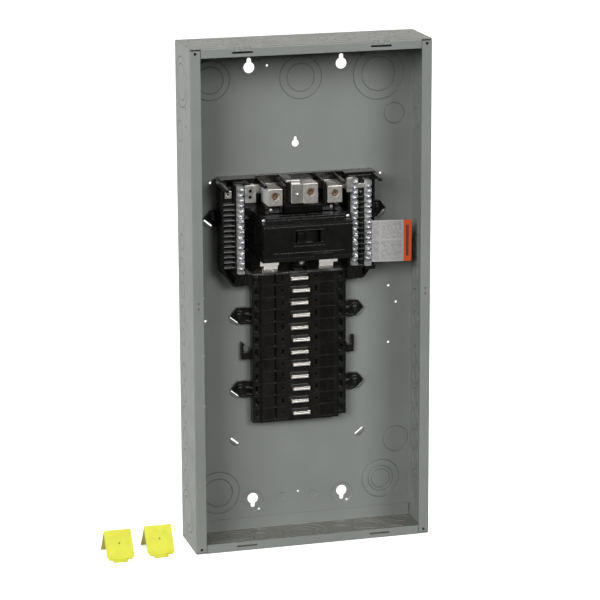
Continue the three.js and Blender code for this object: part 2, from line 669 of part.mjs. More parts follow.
function contactArm(x) {
  return build([
    block(x - 4, x + 4, 1.5, -1.5, CROSSBAR.radius - 0.2 + GAP, 35),
    block(x - 3, x + 3, 1.5 - JOIN, 3.2, 28, 34),
  ]);
}

function lineStrap(side) {
  const x = side * LUG_X;
  return build([
    block(x - 9.8, x + 9.8, -8.3, -10.7, 96, 144),
    block(x - 5, x + 5, -9, -20.5, 96, 98.5),
    block(x - 5, x + 5, -18, -20.5, 96, 104),
    block(x - 3, x + 3, -20.5 + JOIN, -22.3, 97, 103),
  ]);
}

function loadStrap(side) {
  return build([
    block(side * 31, side * 60, -14.3, -16.8, 36, 50),
    block(side * 36, side * 54, -14.3, -16.8, 49, 60),
  ]);
}

function arcChute(side) {
  const x = side * LUG_X;
  const shapes = [block(x - 12, x - 10.5, -24, -41, 101, 113), block(x + 10.5, x + 12, -24, -41, 101, 113)];
  for (let index = 0; index < 5; index += 1) {
    const y = -26 - index * 3.2;
    shapes.push(block(x - 11, x + 11, y, y - 1, 107, 113));
  }
  return build(shapes);
}

function bimetal(side) {
  const x = side * LUG_X;
  return build([
    block(x - 4, x + 4, -17.1, -18.5, 56, 61),
    block(x - 4, x + 4, -17.4, -18.5, 56, 64),
  ]);
}

// ---------------------------------------------------------------- loose and hanging pieces
// Bent sheet that covers a line lug, here standing on its two feet like a tent.
function lineBarrier(place) {
  const { width, ridgeY, ridgeZ, footY, flapY, thickness, tab, crease } = BARRIER;
  const ridgeInside = ridgeZ - thickness - 0.6;
  const outer = [
    [footY - tab, 0], [footY - tab, thickness], [footY - 1, thickness + 0.6], [footY, crease],
    [ridgeY - 3, ridgeZ], [ridgeY, ridgeZ], [flapY, 0], [flapY - thickness, 0],
    [ridgeY - 0.6, ridgeInside], [ridgeY - 2, ridgeInside], [footY + thickness, crease - 0.6],
    [footY + 1.4, 0],
  ];
  const half = width / 2;
  const shape = barAlongX(outer, -half, half);
  const besideTab = [footY - tab - 1, footY - 0.8, -1, thickness + 1];
  const cuts = [
    block(-half - 1, -half + 7.5, ...besideTab),
    block(half - 11.5, half + 1, ...besideTab),
    rodAlongY(1.4, footY + 24, footY - 10, 0, 22, 10),
  ];
  return build([shape], cuts).translate(place.x, place.y, FLOOR_Z);
}

// Flat card hung from the far right bar, its free end leaning forward.
function hangTag() {
  const { left, right, bottom, top, back, lean, thickness } = CARD;
  const section = [
    [left, back], [right, back - lean], [right, back - lean - thickness], [left, back - thickness],
  ];
  return build([barAlongZ(section, bottom, top)]);
}

// ---------------------------------------------------------------- assembly
addPart('enclosure_wrap', enclosureWrap(), paintedSteel);
addPart('top_end_wall', endWall(true), paintedSteel);
addPart('bottom_end_wall', endWall(false), paintedSteel);

addPart('upper_base', upperBase(), blackPlastic);
addPart('rail_module_upper', railModule(0, false), blackPlastic);
addPart('rail_module_lower', railModule(1, true), blackPlastic);
for (const spot of earScrewSpots()) {
  addScrew(spot.name, spot.x, spot.z, FOOT_FRONT - GAP, -0.2, 4.4, 2.1, blackSteel);
}
addScrew('hold_down_screw', 0, HOLD_DOWN_Z, PEDESTAL_FRONT - GAP, -14.5, 5, 2);

addPart('bus_bar_a', busBar(-1), tinPlate);
addPart('bus_bar_b', busBar(1), tinPlate);
addPart('neutral_strap', neutralStrap(), tinPlate);
for (const [name, spec] of Object.entries(NEUTRAL_BARS)) {
  addPart(name, neutralBar(spec), aluminium);
}
addPart('neutral_bar_link', block(86.6, 98.2, -28, -31, 150, 156), tinPlate);
addPart('comb_clip', build([block(-115.7, -105.2, -25.3 - GAP, -28, 145, 156)],
  [rodAlongY(1.6, -25, -29, -110.5, 150.5, 10)]), tinPlate);

addPart('line_lug_a', lineLug(-1), aluminium);
addPart('line_lug_b', lineLug(1), aluminium);
addPart('neutral_lug', neutralLug(), aluminium);
const setScrews = [
  ['line_lug_screw_a', -LUG_X, LUG_SCREW_Z, LINE_BORE_Y - 4],
  ['line_lug_screw_b', LUG_X, LUG_SCREW_Z, LINE_BORE_Y - 4],
  ['neutral_lug_screw', NEUTRAL_LUG.middleX, NEUTRAL_LUG.screwZ, NEUTRAL_BORE_Y - 4],
];
for (const [name, x, z, tipDepth] of setScrews) {
  addPart(name, setScrewShape(tipDepth, LUG.front + 1), zincSteel).position.set(x, 0, z);
}
addScrew('neutral_strap_screw', NEUTRAL_SCREW.x, NEUTRAL_SCREW.z, -53.3, -44.8, 3.2, 1.8);
addScrew('line_terminal_screw_a', -LINE_TERMINAL.x, LINE_TERMINAL.z, PEDESTAL_FRONT - GAP, -14.5, 3, 1.6);
addScrew('line_terminal_screw_b', LINE_TERMINAL.x, LINE_TERMINAL.z, PEDESTAL_FRONT - GAP, -14.5, 3, 1.6);

addPart('main_breaker_base', breakerBase(), breakerPlastic);
addPart('main_breaker_cover', breakerCover(), breakerPlastic);
for (const [letter, side] of [['a', -1], ['b', 1]]) {
  const { x, z } = COVER_SCREW_AT;
  addScrew(`main_breaker_screw_${letter}`, side * x, z, COVER_SHOULDER - GAP, -21, 2.9, 1.6);
  addPart(`line_strap_${letter}`, lineStrap(side), copper);
  addPart(`load_strap_${letter}`, loadStrap(side), tinPlate);
  addPart(`arc_chute_${letter}`, arcChute(side), fibre);
  addPart(`bimetal_${letter}`, bimetal(side), copper);
}
addPart('trip_bar', rodAlongX(2.5, -63.7, 63.7, -40, 58.5, 12), blackPlastic);
addPart('handle_pin', rodAlongZ(2.5, 73.5, 106.5, 0, HANDLE_PIVOT_Y, 16), zincSteel);

const handleGroup = new THREE.Group();
handleGroup.position.set(0, HANDLE_PIVOT_Y, 0);
handleGroup.rotation.z = THREE.MathUtils.degToRad(HANDLE_REST_ANGLE);
loadCenter.add(handleGroup);
addPart('main_breaker_handle', handleShape(), breakerPlastic, handleGroup);
addPart('handle_spring', build([rodAlongZ(5, 78.3, 81.2, 0, 0, 20)], [rodAlongZ(2.9, 78, 82, 0, 0, 16)]),
  zincSteel, handleGroup);

const crossbarGroup = new THREE.Group();
crossbarGroup.position.set(0, CROSSBAR.y, CROSSBAR.z);
crossbarGroup.rotation.x = THREE.MathUtils.degToRad(ARMS_OPEN_ANGLE);
loadCenter.add(crossbarGroup);
addPart('contact_crossbar', rodAlongX(CROSSBAR.radius, -63.7, 63.7, 0, 0, 16), blackPlastic, crossbarGroup);
addPart('contact_arm_a', contactArm(-LUG_X), copper, crossbarGroup);
addPart('contact_arm_b', contactArm(LUG_X), copper, crossbarGroup);

addPart('hang_tag', hangTag(), card);
for (const [name, place] of Object.entries(BARRIER_PLACES)) {
  addPart(name, lineBarrier(place), yellowPlastic);
}

export default loadCenter;
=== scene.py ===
"""Residential load center: open steel box, black plug-on interior, two-pole main breaker.

Shapes are written in millimetres and made into metres when a piece is finished.
+X is right as seen from the front, +Y goes into the wall, +Z is up.
"""

import math
import random

import bmesh
import bpy
from mathutils import Matrix, Vector


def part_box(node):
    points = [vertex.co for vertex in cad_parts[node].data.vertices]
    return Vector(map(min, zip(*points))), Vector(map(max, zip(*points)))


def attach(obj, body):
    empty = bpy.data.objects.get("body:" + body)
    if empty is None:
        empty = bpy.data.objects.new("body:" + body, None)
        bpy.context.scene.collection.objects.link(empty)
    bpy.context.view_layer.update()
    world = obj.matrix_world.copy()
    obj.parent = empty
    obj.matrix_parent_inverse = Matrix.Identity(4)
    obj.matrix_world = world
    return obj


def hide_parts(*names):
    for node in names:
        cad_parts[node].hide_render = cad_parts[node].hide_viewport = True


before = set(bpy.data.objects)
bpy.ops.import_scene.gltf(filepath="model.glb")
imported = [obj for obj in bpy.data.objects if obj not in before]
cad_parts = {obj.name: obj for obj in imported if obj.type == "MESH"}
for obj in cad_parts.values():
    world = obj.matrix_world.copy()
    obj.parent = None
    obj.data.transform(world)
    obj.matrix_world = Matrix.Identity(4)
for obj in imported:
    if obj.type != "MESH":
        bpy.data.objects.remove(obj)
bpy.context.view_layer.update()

MM = 0.001
ROOT = "box"


def edges(node):
    """Lowest and highest corner of a CAD node, in millimetres."""
    low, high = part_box(node)
    return Vector(low) / MM, Vector(high) / MM


# ------------------------------------------------------------------ main sizes, in millimetres
WRAP_LOW, WRAP_HIGH = edges("enclosure_wrap")
HALF_WIDTH = WRAP_HIGH.x
HALF_HEIGHT = WRAP_HIGH.z
DEPTH = -WRAP_LOW.y
FRONT = -DEPTH
SHEET = 1.5
BEND_OUTSIDE = 2.2
BEND_INSIDE = BEND_OUTSIDE - SHEET
SIDE_FLANGE = 15.5
END_FLANGE = 14
BACK_FLANGE = 19
FLANGE_GAP = 0.8  # gap between a side flange and an end flange
POLE_PITCH = 19.05
POLES = 12
WIRE_PITCH = 7.94  # spacing of the wire positions on comb and neutral bars
WIRE_PLACES = [40 + index * WIRE_PITCH for index in range(13)]

# ------------------------------------------------------------------ shapes
SOFTENED_ANGLE = 30  # edges that turn by more degrees than this can be rounded
SMOOTH_ANGLE = 34  # and those that turn by less are shaded smooth
PLACE = {
    "x": lambda a, b, along: (along, a, b),
    "y": lambda a, b, along: (a, along, b),
    "z": lambda a, b, along: (a, b, along),
}


def soften(shape, radius):
    """Rounds every edge that is sharper than SOFTENED_ANGLE."""
    if radius > 0:
        limit = math.radians(SOFTENED_ANGLE)
        sharp = [e for e in shape.edges if len(e.link_faces) == 2 and e.calc_face_angle(0) > limit]
        bmesh.ops.bevel(
            shape, geom=sharp, offset=radius, segments=2, profile=0.5,
            affect="EDGES", clamp_overlap=True)
    return shape


def prism(axis, outline, low, high, soft=0.0):
    """A flat outline pushed out along an axis. The outline is in the other two axes, in order."""
    shape = bmesh.new()
    ends = [[shape.verts.new(PLACE[axis](a, b, at)) for a, b in outline] for at in (low, high)]
    count = len(outline)
    shape.faces.new(ends[0])
    shape.faces.new(ends[1])
    for i in range(count):
        j = (i + 1) % count
        shape.faces.new((ends[0][i], ends[0][j], ends[1][j], ends[1][i]))
    bmesh.ops.recalc_face_normals(shape, faces=shape.faces)
    return soften(shape, soft)


def block(x0, x1, y0, y1, z0, z1, soft=0.0):
    outline = [(x0, y0), (x1, y0), (x1, y1), (x0, y1)]
    return prism("z", outline, z0, z1, soft)


def circle(radius, a=0.0, b=0.0, sides=24, turn=0.0):
    steps = [turn + math.tau * i / sides for i in range(sides)]
    return [(a + radius * math.cos(t), b + radius * math.sin(t)) for t in steps]


def rod(axis, radius, low, high, a, b, sides=24, soft=0.0):
    return prism(axis, circle(radius, a, b, sides), low, high, soft)


def lathe(axis, profile, a, b, sides=24):
    """Turns a closed profile of (radius, place along the axis) about the axis through (a, b)."""
    shape = bmesh.new()
    rings = []
    for radius, along in profile:
        if radius == 0:
            rings.append([shape.verts.new(PLACE[axis](a, b, along))])
        else:
            points = circle(radius, a, b, sides)
            rings.append([shape.verts.new(PLACE[axis](u, v, along)) for u, v in points])
    pairs = list(zip(rings, rings[1:]))
    if profile[0][0] > 0:
        pairs.append((rings[-1], rings[0]))
    for one, two in pairs:
        for i in range(sides):
            j = (i + 1) % sides
            corners = [one[i % len(one)], one[j % len(one)], two[j % len(two)], two[i % len(two)]]
            shape.faces.new(list(dict.fromkeys(corners)))
    bmesh.ops.recalc_face_normals(shape, faces=shape.faces)
    return shape


def fillet(points, radii, steps=3):
    """Rounds the corners of an outline. radii is one number, or one for each corner."""
    if not isinstance(radii, (list, tuple)):
        radii = [radii] * len(points)
    result = []
    for i, (point, radius) in enumerate(zip(points, radii)):
        corner = Vector(point)
        before = Vector(points[i - 1]) - corner
        after = Vector(points[(i + 1) % len(points)]) - corner
        half = before.angle(after) / 2
        if radius <= 0 or half > math.radians(88):
            result.append(tuple(corner))
            continue
        reach = min(radius / math.tan(half), before.length * 0.49, after.length * 0.49)
        start = corner + before.normalized() * reach
        end = corner + after.normalized() * reach
        for step in range(steps + 1):
            t = step / steps
            a = start.lerp(corner, t)
            b = corner.lerp(end, t)
            result.append(tuple(a.lerp(b, t)))
    return result


def moved(shape, x=0.0, y=0.0, z=0.0):
    bmesh.ops.translate(shape, vec=(x, y, z), verts=shape.verts)
    return shape


def turned(shape, axis, degrees):
    turn = Matrix.Rotation(math.radians(degrees), 3, axis.upper())
    bmesh.ops.rotate(shape, cent=(0, 0, 0), matrix=turn, verts=shape.verts)
    return shape


def mirrored(shape):
    """The same shape on the other side of the middle."""
    bmesh.ops.scale(shape, vec=(-1, 1, 1), verts=shape.verts)
    bmesh.ops.reverse_faces(shape, faces=shape.faces)
    return shape


def span(side, near, far):
    """Lowest and highest X of a stretch from near to far, on the side asked for."""
    return sorted((side * near, side * far))


def on_side(side, shape):
    """A shape made for the right-hand side, on the side asked for: 1 is right and -1 is left."""
    return shape if side > 0 else mirrored(shape)


def together(shapes):
    """Separate shapes, kept side by side in one mesh."""
    whole = bmesh.new()
    for shape in shapes:
        mesh = bpy.data.meshes.new("part")
        shape.to_mesh(mesh)
        shape.free()
        whole.from_mesh(mesh)
        bpy.data.meshes.remove(mesh)
    return whole


def temporary_object(shape):
    mesh = bpy.data.meshes.new("tool")
    shape.to_mesh(mesh)
    shape.free()
    tool = bpy.data.objects.new("tool", mesh)
    bpy.context.scene.collection.objects.link(tool)
    return tool


def combine(base, added=(), removed=()):
    """One closed body: base with the added shapes joined on and the removed ones cut out."""
    body = temporary_object(base)
    tools = []
    for operation, shapes in (("UNION", added), ("DIFFERENCE", removed)):
        for shape in shapes:
            tool = temporary_object(shape)
            step = body.modifiers.new("step", "BOOLEAN")
            step.operation = operation
            step.solver = "MANIFOLD"
            step.object = tool
            tools.append(tool)
    ready = body.evaluated_get(bpy.context.evaluated_depsgraph_get())
    mesh = ready.to_mesh()
    result = bmesh.new()
    result.from_mesh(mesh)
    ready.to_mesh_clear()
    for item in [body, *tools]:
        data = item.data
        bpy.data.objects.remove(item)
        bpy.data.meshes.remove(data)
    return result


def piece(name, shape, slot, body=ROOT, replaces=()):
    """Finishes a shape as a piece that rides on a body."""
    bmesh.ops.scale(shape, vec=(MM, MM, MM), verts=shape.verts)
    mesh = bpy.data.meshes.new(name)
    shape.to_mesh(mesh)
    shape.free()
    mesh.shade_smooth()
    mesh.set_sharp_from_angle(angle=math.radians(SMOOTH_ANGLE))
    mesh.materials.append(LOOKS[slot])
    made = bpy.data.objects.new(name, mesh)
    bpy.context.scene.collection.objects.link(made)
    normals = made.modifiers.new("flat faces", "WEIGHTED_NORMAL")
    normals.keep_sharp = True
    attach(made, body)
    if replaces:
        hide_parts(*replaces)
    return made


# ------------------------------------------------------------------ materials
PRINT_EDGE = 0.0003  # width in metres over which print fades into the card
CARD_BAND = 12  # width of the card's coloured end band
# Colours of the film on faces that look up: a light one on the black mouldings, partly dust and partly
# painted sheen, and a dark one on the painted steel, partly dust and partly painted shade.
DUST_AND_SHEEN = (0.20, 0.195, 0.18)
PAINT_DUST_AND_SHADE = (0.13, 0.122, 0.105)


def add_node(tree, kind, inputs):
    """A new shader node. Each input gets a value, or is linked to the socket given in its place."""
    node = tree.nodes.new(kind)
    for name, value in inputs.items():
        if isinstance(value, bpy.types.NodeSocket):
            tree.links.new(value, node.inputs[name])
        else:
            node.inputs[name].default_value = value
    return node


class Look:
    """A material and the few nodes that every finish here shares."""

    def __init__(self, name, colour, roughness, metallic=0.0):
        self.material = bpy.data.materials.new(name)
        self.material.use_nodes = True
        self.tree = self.material.node_tree
        self.shader = self.tree.nodes["Principled BSDF"]
        self.shader.inputs["Base Color"].default_value = (*colour, 1)
        self.shader.inputs["Roughness"].default_value = roughness
        self.shader.inputs["Metallic"].default_value = metallic
        self.colour = colour
        self.roughness = roughness
        coordinates = self.add("ShaderNodeTexCoord", {}).outputs
        self.place = coordinates["Object"]
        self.facing = coordinates["Normal"]
        self.normal = None

    def add(self, kind, inputs):
        return add_node(self.tree, kind, inputs)

    def set(self, name, source):
        self.tree.links.new(source, self.shader.inputs[name])

    def axes(self, vector):
        """A vector's X, Y and Z."""
        return self.add("ShaderNodeSeparateXYZ", {"Vector": vector}).outputs

    def noise(self, size, detail=3.0, stretch=(1, 1, 1)):
        """Noise whose features are about size metres across, drawn out along an axis by stretch."""
        mapping = self.add("ShaderNodeMapping", {"Vector": self.place, "Scale": [1 / s for s in stretch]})
        inputs = {"Vector": mapping.outputs["Vector"], "Scale": 1 / size, "Detail": detail}
        return self.add("ShaderNodeTexNoise", inputs).outputs["Fac"]

    def cells(self, size):
        texture = self.add("ShaderNodeTexVoronoi", {"Vector": self.place, "Scale": 1 / size})
        return texture.outputs["Distance"]

    def spread(self, source, low, high, start=0.3, end=0.7):
        """Maps a texture from start..end to low..high."""
        inputs = {"Value": source, "From Min": start, "From Max": end, "To Min": low, "To Max": high}
        return self.add("ShaderNodeMapRange", inputs).outputs["Result"]

    def tint(self, source, dark, light):
        """Colour that runs from dark to light times the plain colour."""
        ramp = self.add("ShaderNodeValToRGB", {"Fac": source})
        for stop, position, factor in zip(ramp.color_ramp.elements, (0.3, 0.7), (dark, light)):
            stop.position = position
            stop.color = (*[c * factor for c in self.colour], 1)
        self.set("Base Color", ramp.outputs["Color"])
        return ramp.outputs["Color"]

    def vary_roughness(self, source, amount):
        self.set("Roughness", self.spread(source, self.roughness - amount, self.roughness + amount))

    def bump(self, source, height):
        """Raises the surface by up to height metres. Later bumps lie on top of earlier ones."""
        node = self.add("ShaderNodeBump", {"Height": source, "Strength": 1, "Distance": height})
        if self.normal is not None:
            self.tree.links.new(self.normal, node.inputs["Normal"])
        self.normal = node.outputs["Normal"]
        self.set("Normal", self.normal)

    def mix(self, factor, one, two):
        """Mixes two colours; each is a socket or a plain colour."""
        node = self.add("ShaderNodeMix", {"Factor": factor})
        node.data_type = "RGBA"
        colours = [s for s in node.inputs if s.type == "RGBA"]
        for socket, value in zip(colours, (one, two)):
            if isinstance(value, tuple):
                socket.default_value = (*value, 1)
            else:
                self.tree.links.new(value, socket)
        return [s for s in node.outputs if s.type == "RGBA"][0]

    def product(self, one, two):
        node = self.add("ShaderNodeMath", {0: one, 1: two})
        node.operation = "MULTIPLY"
        return node.outputs["Value"]

    def strip(self, source, start, end):
        """1 between two places in millimetres, 0 outside."""
        rise = self.spread(source, 0, 1, start * MM, start * MM + PRINT_EDGE)
        return self.product(rise, self.spread(source, 1, 0, end * MM, end * MM + PRINT_EDGE))

    def field(self, across, up, x0, x1, z0, z1):
        """1 inside a rectangle, 0 outside."""
        return self.product(self.strip(across, x0, x1), self.strip(up, z0, z1))

    def dust_and_painted_light(self, base, colour, amount, size=0.004):
        """Lays a film on faces that look up, in patches: partly dust, partly painted light on those faces."""
        upward = self.spread(self.axes(self.facing)["Z"], 0, amount, 0.55, 0.95)
        patches = self.spread(self.noise(size, detail=4), 0.75, 1.0, 0.35, 0.6)
        self.set("Base Color", self.mix(self.product(upward, patches), base, colour))


def painted_steel():
    """Grey powder coat: orange peel, faint clouding, fine specks, and on faces that look up a darker film,
    partly dust and partly painted shade.
    """
    look = Look("painted_steel", (0.215, 0.228, 0.214), 0.42)
    clouds = look.noise(0.12, detail=4)
    base = look.tint(clouds, 0.94, 1.05)
    specks = look.spread(look.noise(0.0009, detail=2), 0, 0.25, 0.62, 0.75)
    # Faces that look up, such as the top wall and the box's inner floor, are darkened in patches: partly
    # dust, partly painted shade.
    look.dust_and_painted_light(look.mix(specks, base, (0.30, 0.31, 0.30)), PAINT_DUST_AND_SHADE, 0.75, size=0.008)
    look.vary_roughness(look.noise(0.03), 0.05)
    look.bump(look.noise(0.0022, detail=2), 0.00006)
    look.bump(look.noise(0.0006, detail=1), 0.00002)
    return look.material


def black_plastic():
    """Moulded black thermoplastic: slight flow marks, a fine grain, and on faces that look up a lighter film,
    partly dust and partly painted sheen.
    """
    look = Look("black_plastic", (0.0074, 0.0069, 0.0062), 0.24)
    base = look.tint(look.noise(0.02, detail=4), 0.8, 1.5)
    # Faces that look up are lightened in patches: partly dust, partly painted sheen.
    look.dust_and_painted_light(base, DUST_AND_SHEEN, 0.45)
    look.vary_roughness(look.noise(0.012, detail=3), 0.05)
    look.bump(look.noise(0.006, detail=2), 0.00002)
    look.bump(look.noise(0.0004, detail=1), 0.000004)
    return look.material


def breaker_plastic():
    """Moulded black thermoset with a spark-eroded texture."""
    look = Look("breaker_plastic", (0.0054, 0.0052, 0.0048), 0.25)
    look.tint(look.noise(0.03, detail=4), 0.85, 1.35)
    look.vary_roughness(look.noise(0.01, detail=3), 0.04)
    look.bump(look.cells(0.0007), 0.000002)
    look.bump(look.noise(0.0012, detail=2), 0.000002)
    return look.material


def aluminium(name="aluminium", colour=(0.76, 0.725, 0.67)):
    """Extruded aluminium: draw lines, small handling marks, and matt sawn faces at its two ends."""
    look = Look(name, colour, 0.37, metallic=0.88)
    lines = look.noise(0.0004, detail=3, stretch=(1, 1, 40))
    base = look.tint(look.noise(0.004, detail=3), 0.84, 1.06)
    sideways = look.add("ShaderNodeMath", {0: look.axes(look.facing)["X"]})
    sideways.operation = "ABSOLUTE"
    sawn = look.spread(sideways.outputs["Value"], 0, 1, 0.85, 0.95)
    look.set("Base Color", look.mix(sawn, base, (0.82, 0.82, 0.80)))
    look.set("Metallic", look.spread(sawn, 0.88, 0.15, 0, 1))
    look.vary_roughness(look.noise(0.002, detail=4), 0.09)
    look.bump(lines, 0.00001)
    look.bump(look.noise(0.0015, detail=4), 0.00001)
    return look.material


def tin_plate():
    """Bright tin plate on formed metal, slightly mottled."""
    look = Look("tin_plate", (0.82, 0.795, 0.75), 0.34, metallic=0.95)
    look.tint(look.cells(0.003), 0.95, 1.03)
    look.vary_roughness(look.noise(0.004, detail=4), 0.08)
    look.bump(look.noise(0.0025, detail=3), 0.00001)
    return look.material


def zinc(name, colour, roughness, dark, light):
    """Zinc-plated steel with a turned grain."""
    look = Look(name, colour, roughness, metallic=1.0)
    look.tint(look.noise(0.0015, detail=4), dark, light)
    look.vary_roughness(look.noise(0.0008, detail=3), 0.10)
    look.bump(look.noise(0.0008, detail=2), 0.00002)
    return look.material


def black_steel():
    """Blackened screws with worn, slightly lighter patches."""
    look = Look("black_steel", (0.030, 0.029, 0.028), 0.34, metallic=0.7)
    look.tint(look.noise(0.002, detail=4), 0.6, 1.8)
    look.vary_roughness(look.noise(0.001, detail=3), 0.08)
    look.bump(look.noise(0.0008, detail=2), 0.00002)
    return look.material


def copper():
    look = Look("copper", (0.72, 0.36, 0.24), 0.32, metallic=1.0)
    look.tint(look.noise(0.005, detail=4), 0.7, 1.08)
    look.vary_roughness(look.noise(0.002, detail=3), 0.12)
    look.bump(look.noise(0.0006, detail=3, stretch=(1, 1, 20)), 0.00002)
    return look.material


def fibre():
    look = Look("fibre", (0.20, 0.165, 0.12), 0.85)
    look.tint(look.noise(0.001, detail=4, stretch=(8, 1, 1)), 0.7, 1.2)
    look.bump(look.noise(0.0007, detail=3), 0.00005)
    return look.material


def yellow_plastic():
    """Glossy yellow moulding that lets a little light in."""
    look = Look("yellow_plastic", (0.68, 0.69, 0.06), 0.34)
    look.tint(look.noise(0.015, detail=3), 0.93, 1.04)
    look.vary_roughness(look.noise(0.006, detail=3), 0.07)
    look.bump(look.noise(0.004, detail=2), 0.00006)
    look.shader.inputs["Subsurface Weight"].default_value = 0.15
    look.shader.inputs["Subsurface Scale"].default_value = 0.004
    return look.material


def card_print(look, paper, across, up, low, high):
    """Fine broken rows in four blocks."""
    rows = look.add("ShaderNodeTexWave", {"Vector": look.place, "Scale": 180})
    rows.bands_direction = "Z"
    broken = look.spread(look.noise(0.0014, detail=3, stretch=(2, 1, 1)), 0, 0.75, 0.4, 0.55)
    text = look.product(look.spread(rows.outputs["Fac"], 0, 1, 0.35, 0.65), broken)
    middle_x, middle_z = low.x + 12.5, (low.z + high.z) / 2 + 2
    printed = paper
    for x0, x1 in ((low.x + 2, middle_x - 1.2), (middle_x + 1.2, high.x - CARD_BAND - 3)):
        for z0, z1 in ((low.z + 2.5, middle_z - 1), (middle_z + 1, high.z - 2.5)):
            inside = look.field(across, up, x0, x1, z0, z1)
            printed = look.mix(look.product(inside, text), printed, (0.13, 0.13, 0.135))
    return printed


def card_stock():
    """Grey card with print, and at its right end an orange band with a plain dark stripe."""
    look = Look("card", (0.365, 0.36, 0.355), 0.82)
    fibres = look.noise(0.0006, detail=5, stretch=(3, 1, 1))
    paper = look.tint(fibres, 0.94, 1.05)
    low, high = edges("hang_tag")
    places = look.axes(look.place)
    across, up = places["X"], places["Z"]
    printed = card_print(look, paper, across, up, low, high)
    band_low = high.x - CARD_BAND
    band_start = band_low * MM
    band = look.spread(across, 0, 1, band_start, band_start + 0.0002)
    banded = look.mix(band, printed, (0.66, 0.084, 0.014))
    stripe = look.field(across, up, band_low + 3.4, high.x - 4.4, low.z + 8, high.z - 8)
    look.set("Base Color", look.mix(stripe, banded, (0.17, 0.035, 0.018)))
    look.bump(fibres, 0.00005)
    return look.material


LOOKS = {
    "painted_steel": painted_steel(),
    "black_plastic": black_plastic(),
    "breaker_plastic": breaker_plastic(),
    "aluminium": aluminium(),
    "bar_aluminium": aluminium("bar_aluminium", (0.74, 0.75, 0.77)),
    # A darker copy of the aluminium, used on the neutral lug's tang.
    "darker_aluminium": aluminium("darker_aluminium", (0.46, 0.45, 0.41)),
    "yellow_zinc": zinc("yellow_zinc", (0.42, 0.31, 0.22), 0.38, 0.7, 1.15),
    "tin_plate": tin_plate(),
    "zinc_steel": zinc("zinc_steel", (0.78, 0.79, 0.80), 0.30, 0.82, 1.05),
    "black_steel": black_steel(),
    "copper": copper(),
    "fibre": fibre(),
    "card": card_stock(),
    "yellow_plastic": yellow_plastic(),
}


def finish(item, look):
    """Gives a piece a variant of its slot's finish."""
    item.data.materials[0] = LOOKS[look]


def make(node, shape, slot, body=ROOT):
    """The piece that is seen in place of a CAD node, in one of the record's finishes."""
    return piece(node + "_piece", shape, slot, body, replaces=[node])


# ------------------------------------------------------------------ camera, floor and light
CAMERA_AT = (-1027.6, -3767.5, 973.9)
CAMERA_YAW = 0.267749
CAMERA_PITCH = 0.250081
CAMERA_ROLL = -0.004338
LENS = 160.63
WORLD_FRONT = 0.04  # strength of the surroundings on the camera's side
WORLD_BACK = 0.95  # and behind the object
WORLD_SEEN = 1.05  # and where the camera looks straight at them
FLOOR_GLOW = 0.55
FLOOR_REACH = 12
FLOOR_GAP = 0.0002  # between the box and the floor, in metres


def make_camera():
    data = bpy.data.cameras.new("camera")
    data.sensor_width = 36
    data.lens = LENS
    data.clip_end = 50
    camera = bpy.data.objects.new("camera", data)
    level = Matrix.Rotation(CAMERA_PITCH, 3, "X") @ Matrix.Rotation(CAMERA_YAW, 3, "Z")
    right, ahead, up = Matrix.Rotation(CAMERA_ROLL, 3, "Y") @ level
    turn = Matrix((right, up, -ahead)).transposed().to_4x4()
    camera.matrix_world = Matrix.Translation(Vector(CAMERA_AT) * MM) @ turn
    bpy.context.scene.collection.objects.link(camera)
    bpy.context.scene.camera = camera


def make_floor():
    """A wide pale floor under the box."""
    mesh = bpy.data.meshes.new("floor")
    level = -HALF_HEIGHT * MM - FLOOR_GAP
    outline = [(-FLOOR_REACH, -FLOOR_REACH), (FLOOR_REACH, -FLOOR_REACH)]
    outline += [(FLOOR_REACH, FLOOR_REACH), (-FLOOR_REACH, FLOOR_REACH)]
    mesh.from_pydata([(x, y, level) for x, y in outline], [], [(0, 1, 2, 3)])
    look = Look("floor", (0.93, 0.93, 0.93), 0.9)
    look.tint(look.noise(0.5), 0.995, 1.0)
    look.shader.inputs["Emission Color"].default_value = (1, 1, 1, 1)
    look.shader.inputs["Emission Strength"].default_value = FLOOR_GLOW
    mesh.materials.append(look.material)
    floor = bpy.data.objects.new("floor", mesh)
    bpy.context.scene.collection.objects.link(floor)
    floor.visible_glossy = False
    floor.visible_diffuse = False


def softbox(name, azimuth, elevation, distance, size, power):
    """Square area light aimed at the box. Azimuth is in degrees to the right of straight ahead."""
    data = bpy.data.lights.new(name, "AREA")
    data.shape = "SQUARE"
    data.size = size
    data.energy = power
    light = bpy.data.objects.new(name, data)
    turn = Matrix.Rotation(math.radians(azimuth), 3, "Z") @ Matrix.Rotation(math.radians(-elevation), 3, "X")
    outward = turn @ Vector((0, -1, 0))
    light.location = outward * distance
    light.rotation_euler = (-outward).to_track_quat("-Z", "Y").to_euler()
    bpy.context.scene.collection.objects.link(light)


def make_world():
    """White behind the object and overhead, dim on the camera's side, as in a studio cove."""
    world = bpy.data.worlds.new("studio")
    world.use_nodes = True
    tree = world.node_tree
    place = add_node(tree, "ShaderNodeTexCoord", {})
    split = add_node(tree, "ShaderNodeSeparateXYZ", {"Vector": place.outputs["Generated"]})
    depth = add_node(tree, "ShaderNodeMapRange", {
        "Value": split.outputs["Y"], "From Min": -0.15, "From Max": 0.1,
        "To Min": WORLD_FRONT, "To Max": WORLD_BACK})
    path = add_node(tree, "ShaderNodeLightPath", {})
    seen = add_node(tree, "ShaderNodeMix", {
        "Factor": path.outputs["Is Camera Ray"], "A": depth.outputs["Result"], "B": WORLD_SEEN})
    background = tree.nodes["Background"]
    background.inputs["Color"].default_value = (1, 1, 1, 1)
    tree.links.new(seen.outputs["Result"], background.inputs["Strength"])
    bpy.context.scene.world = world


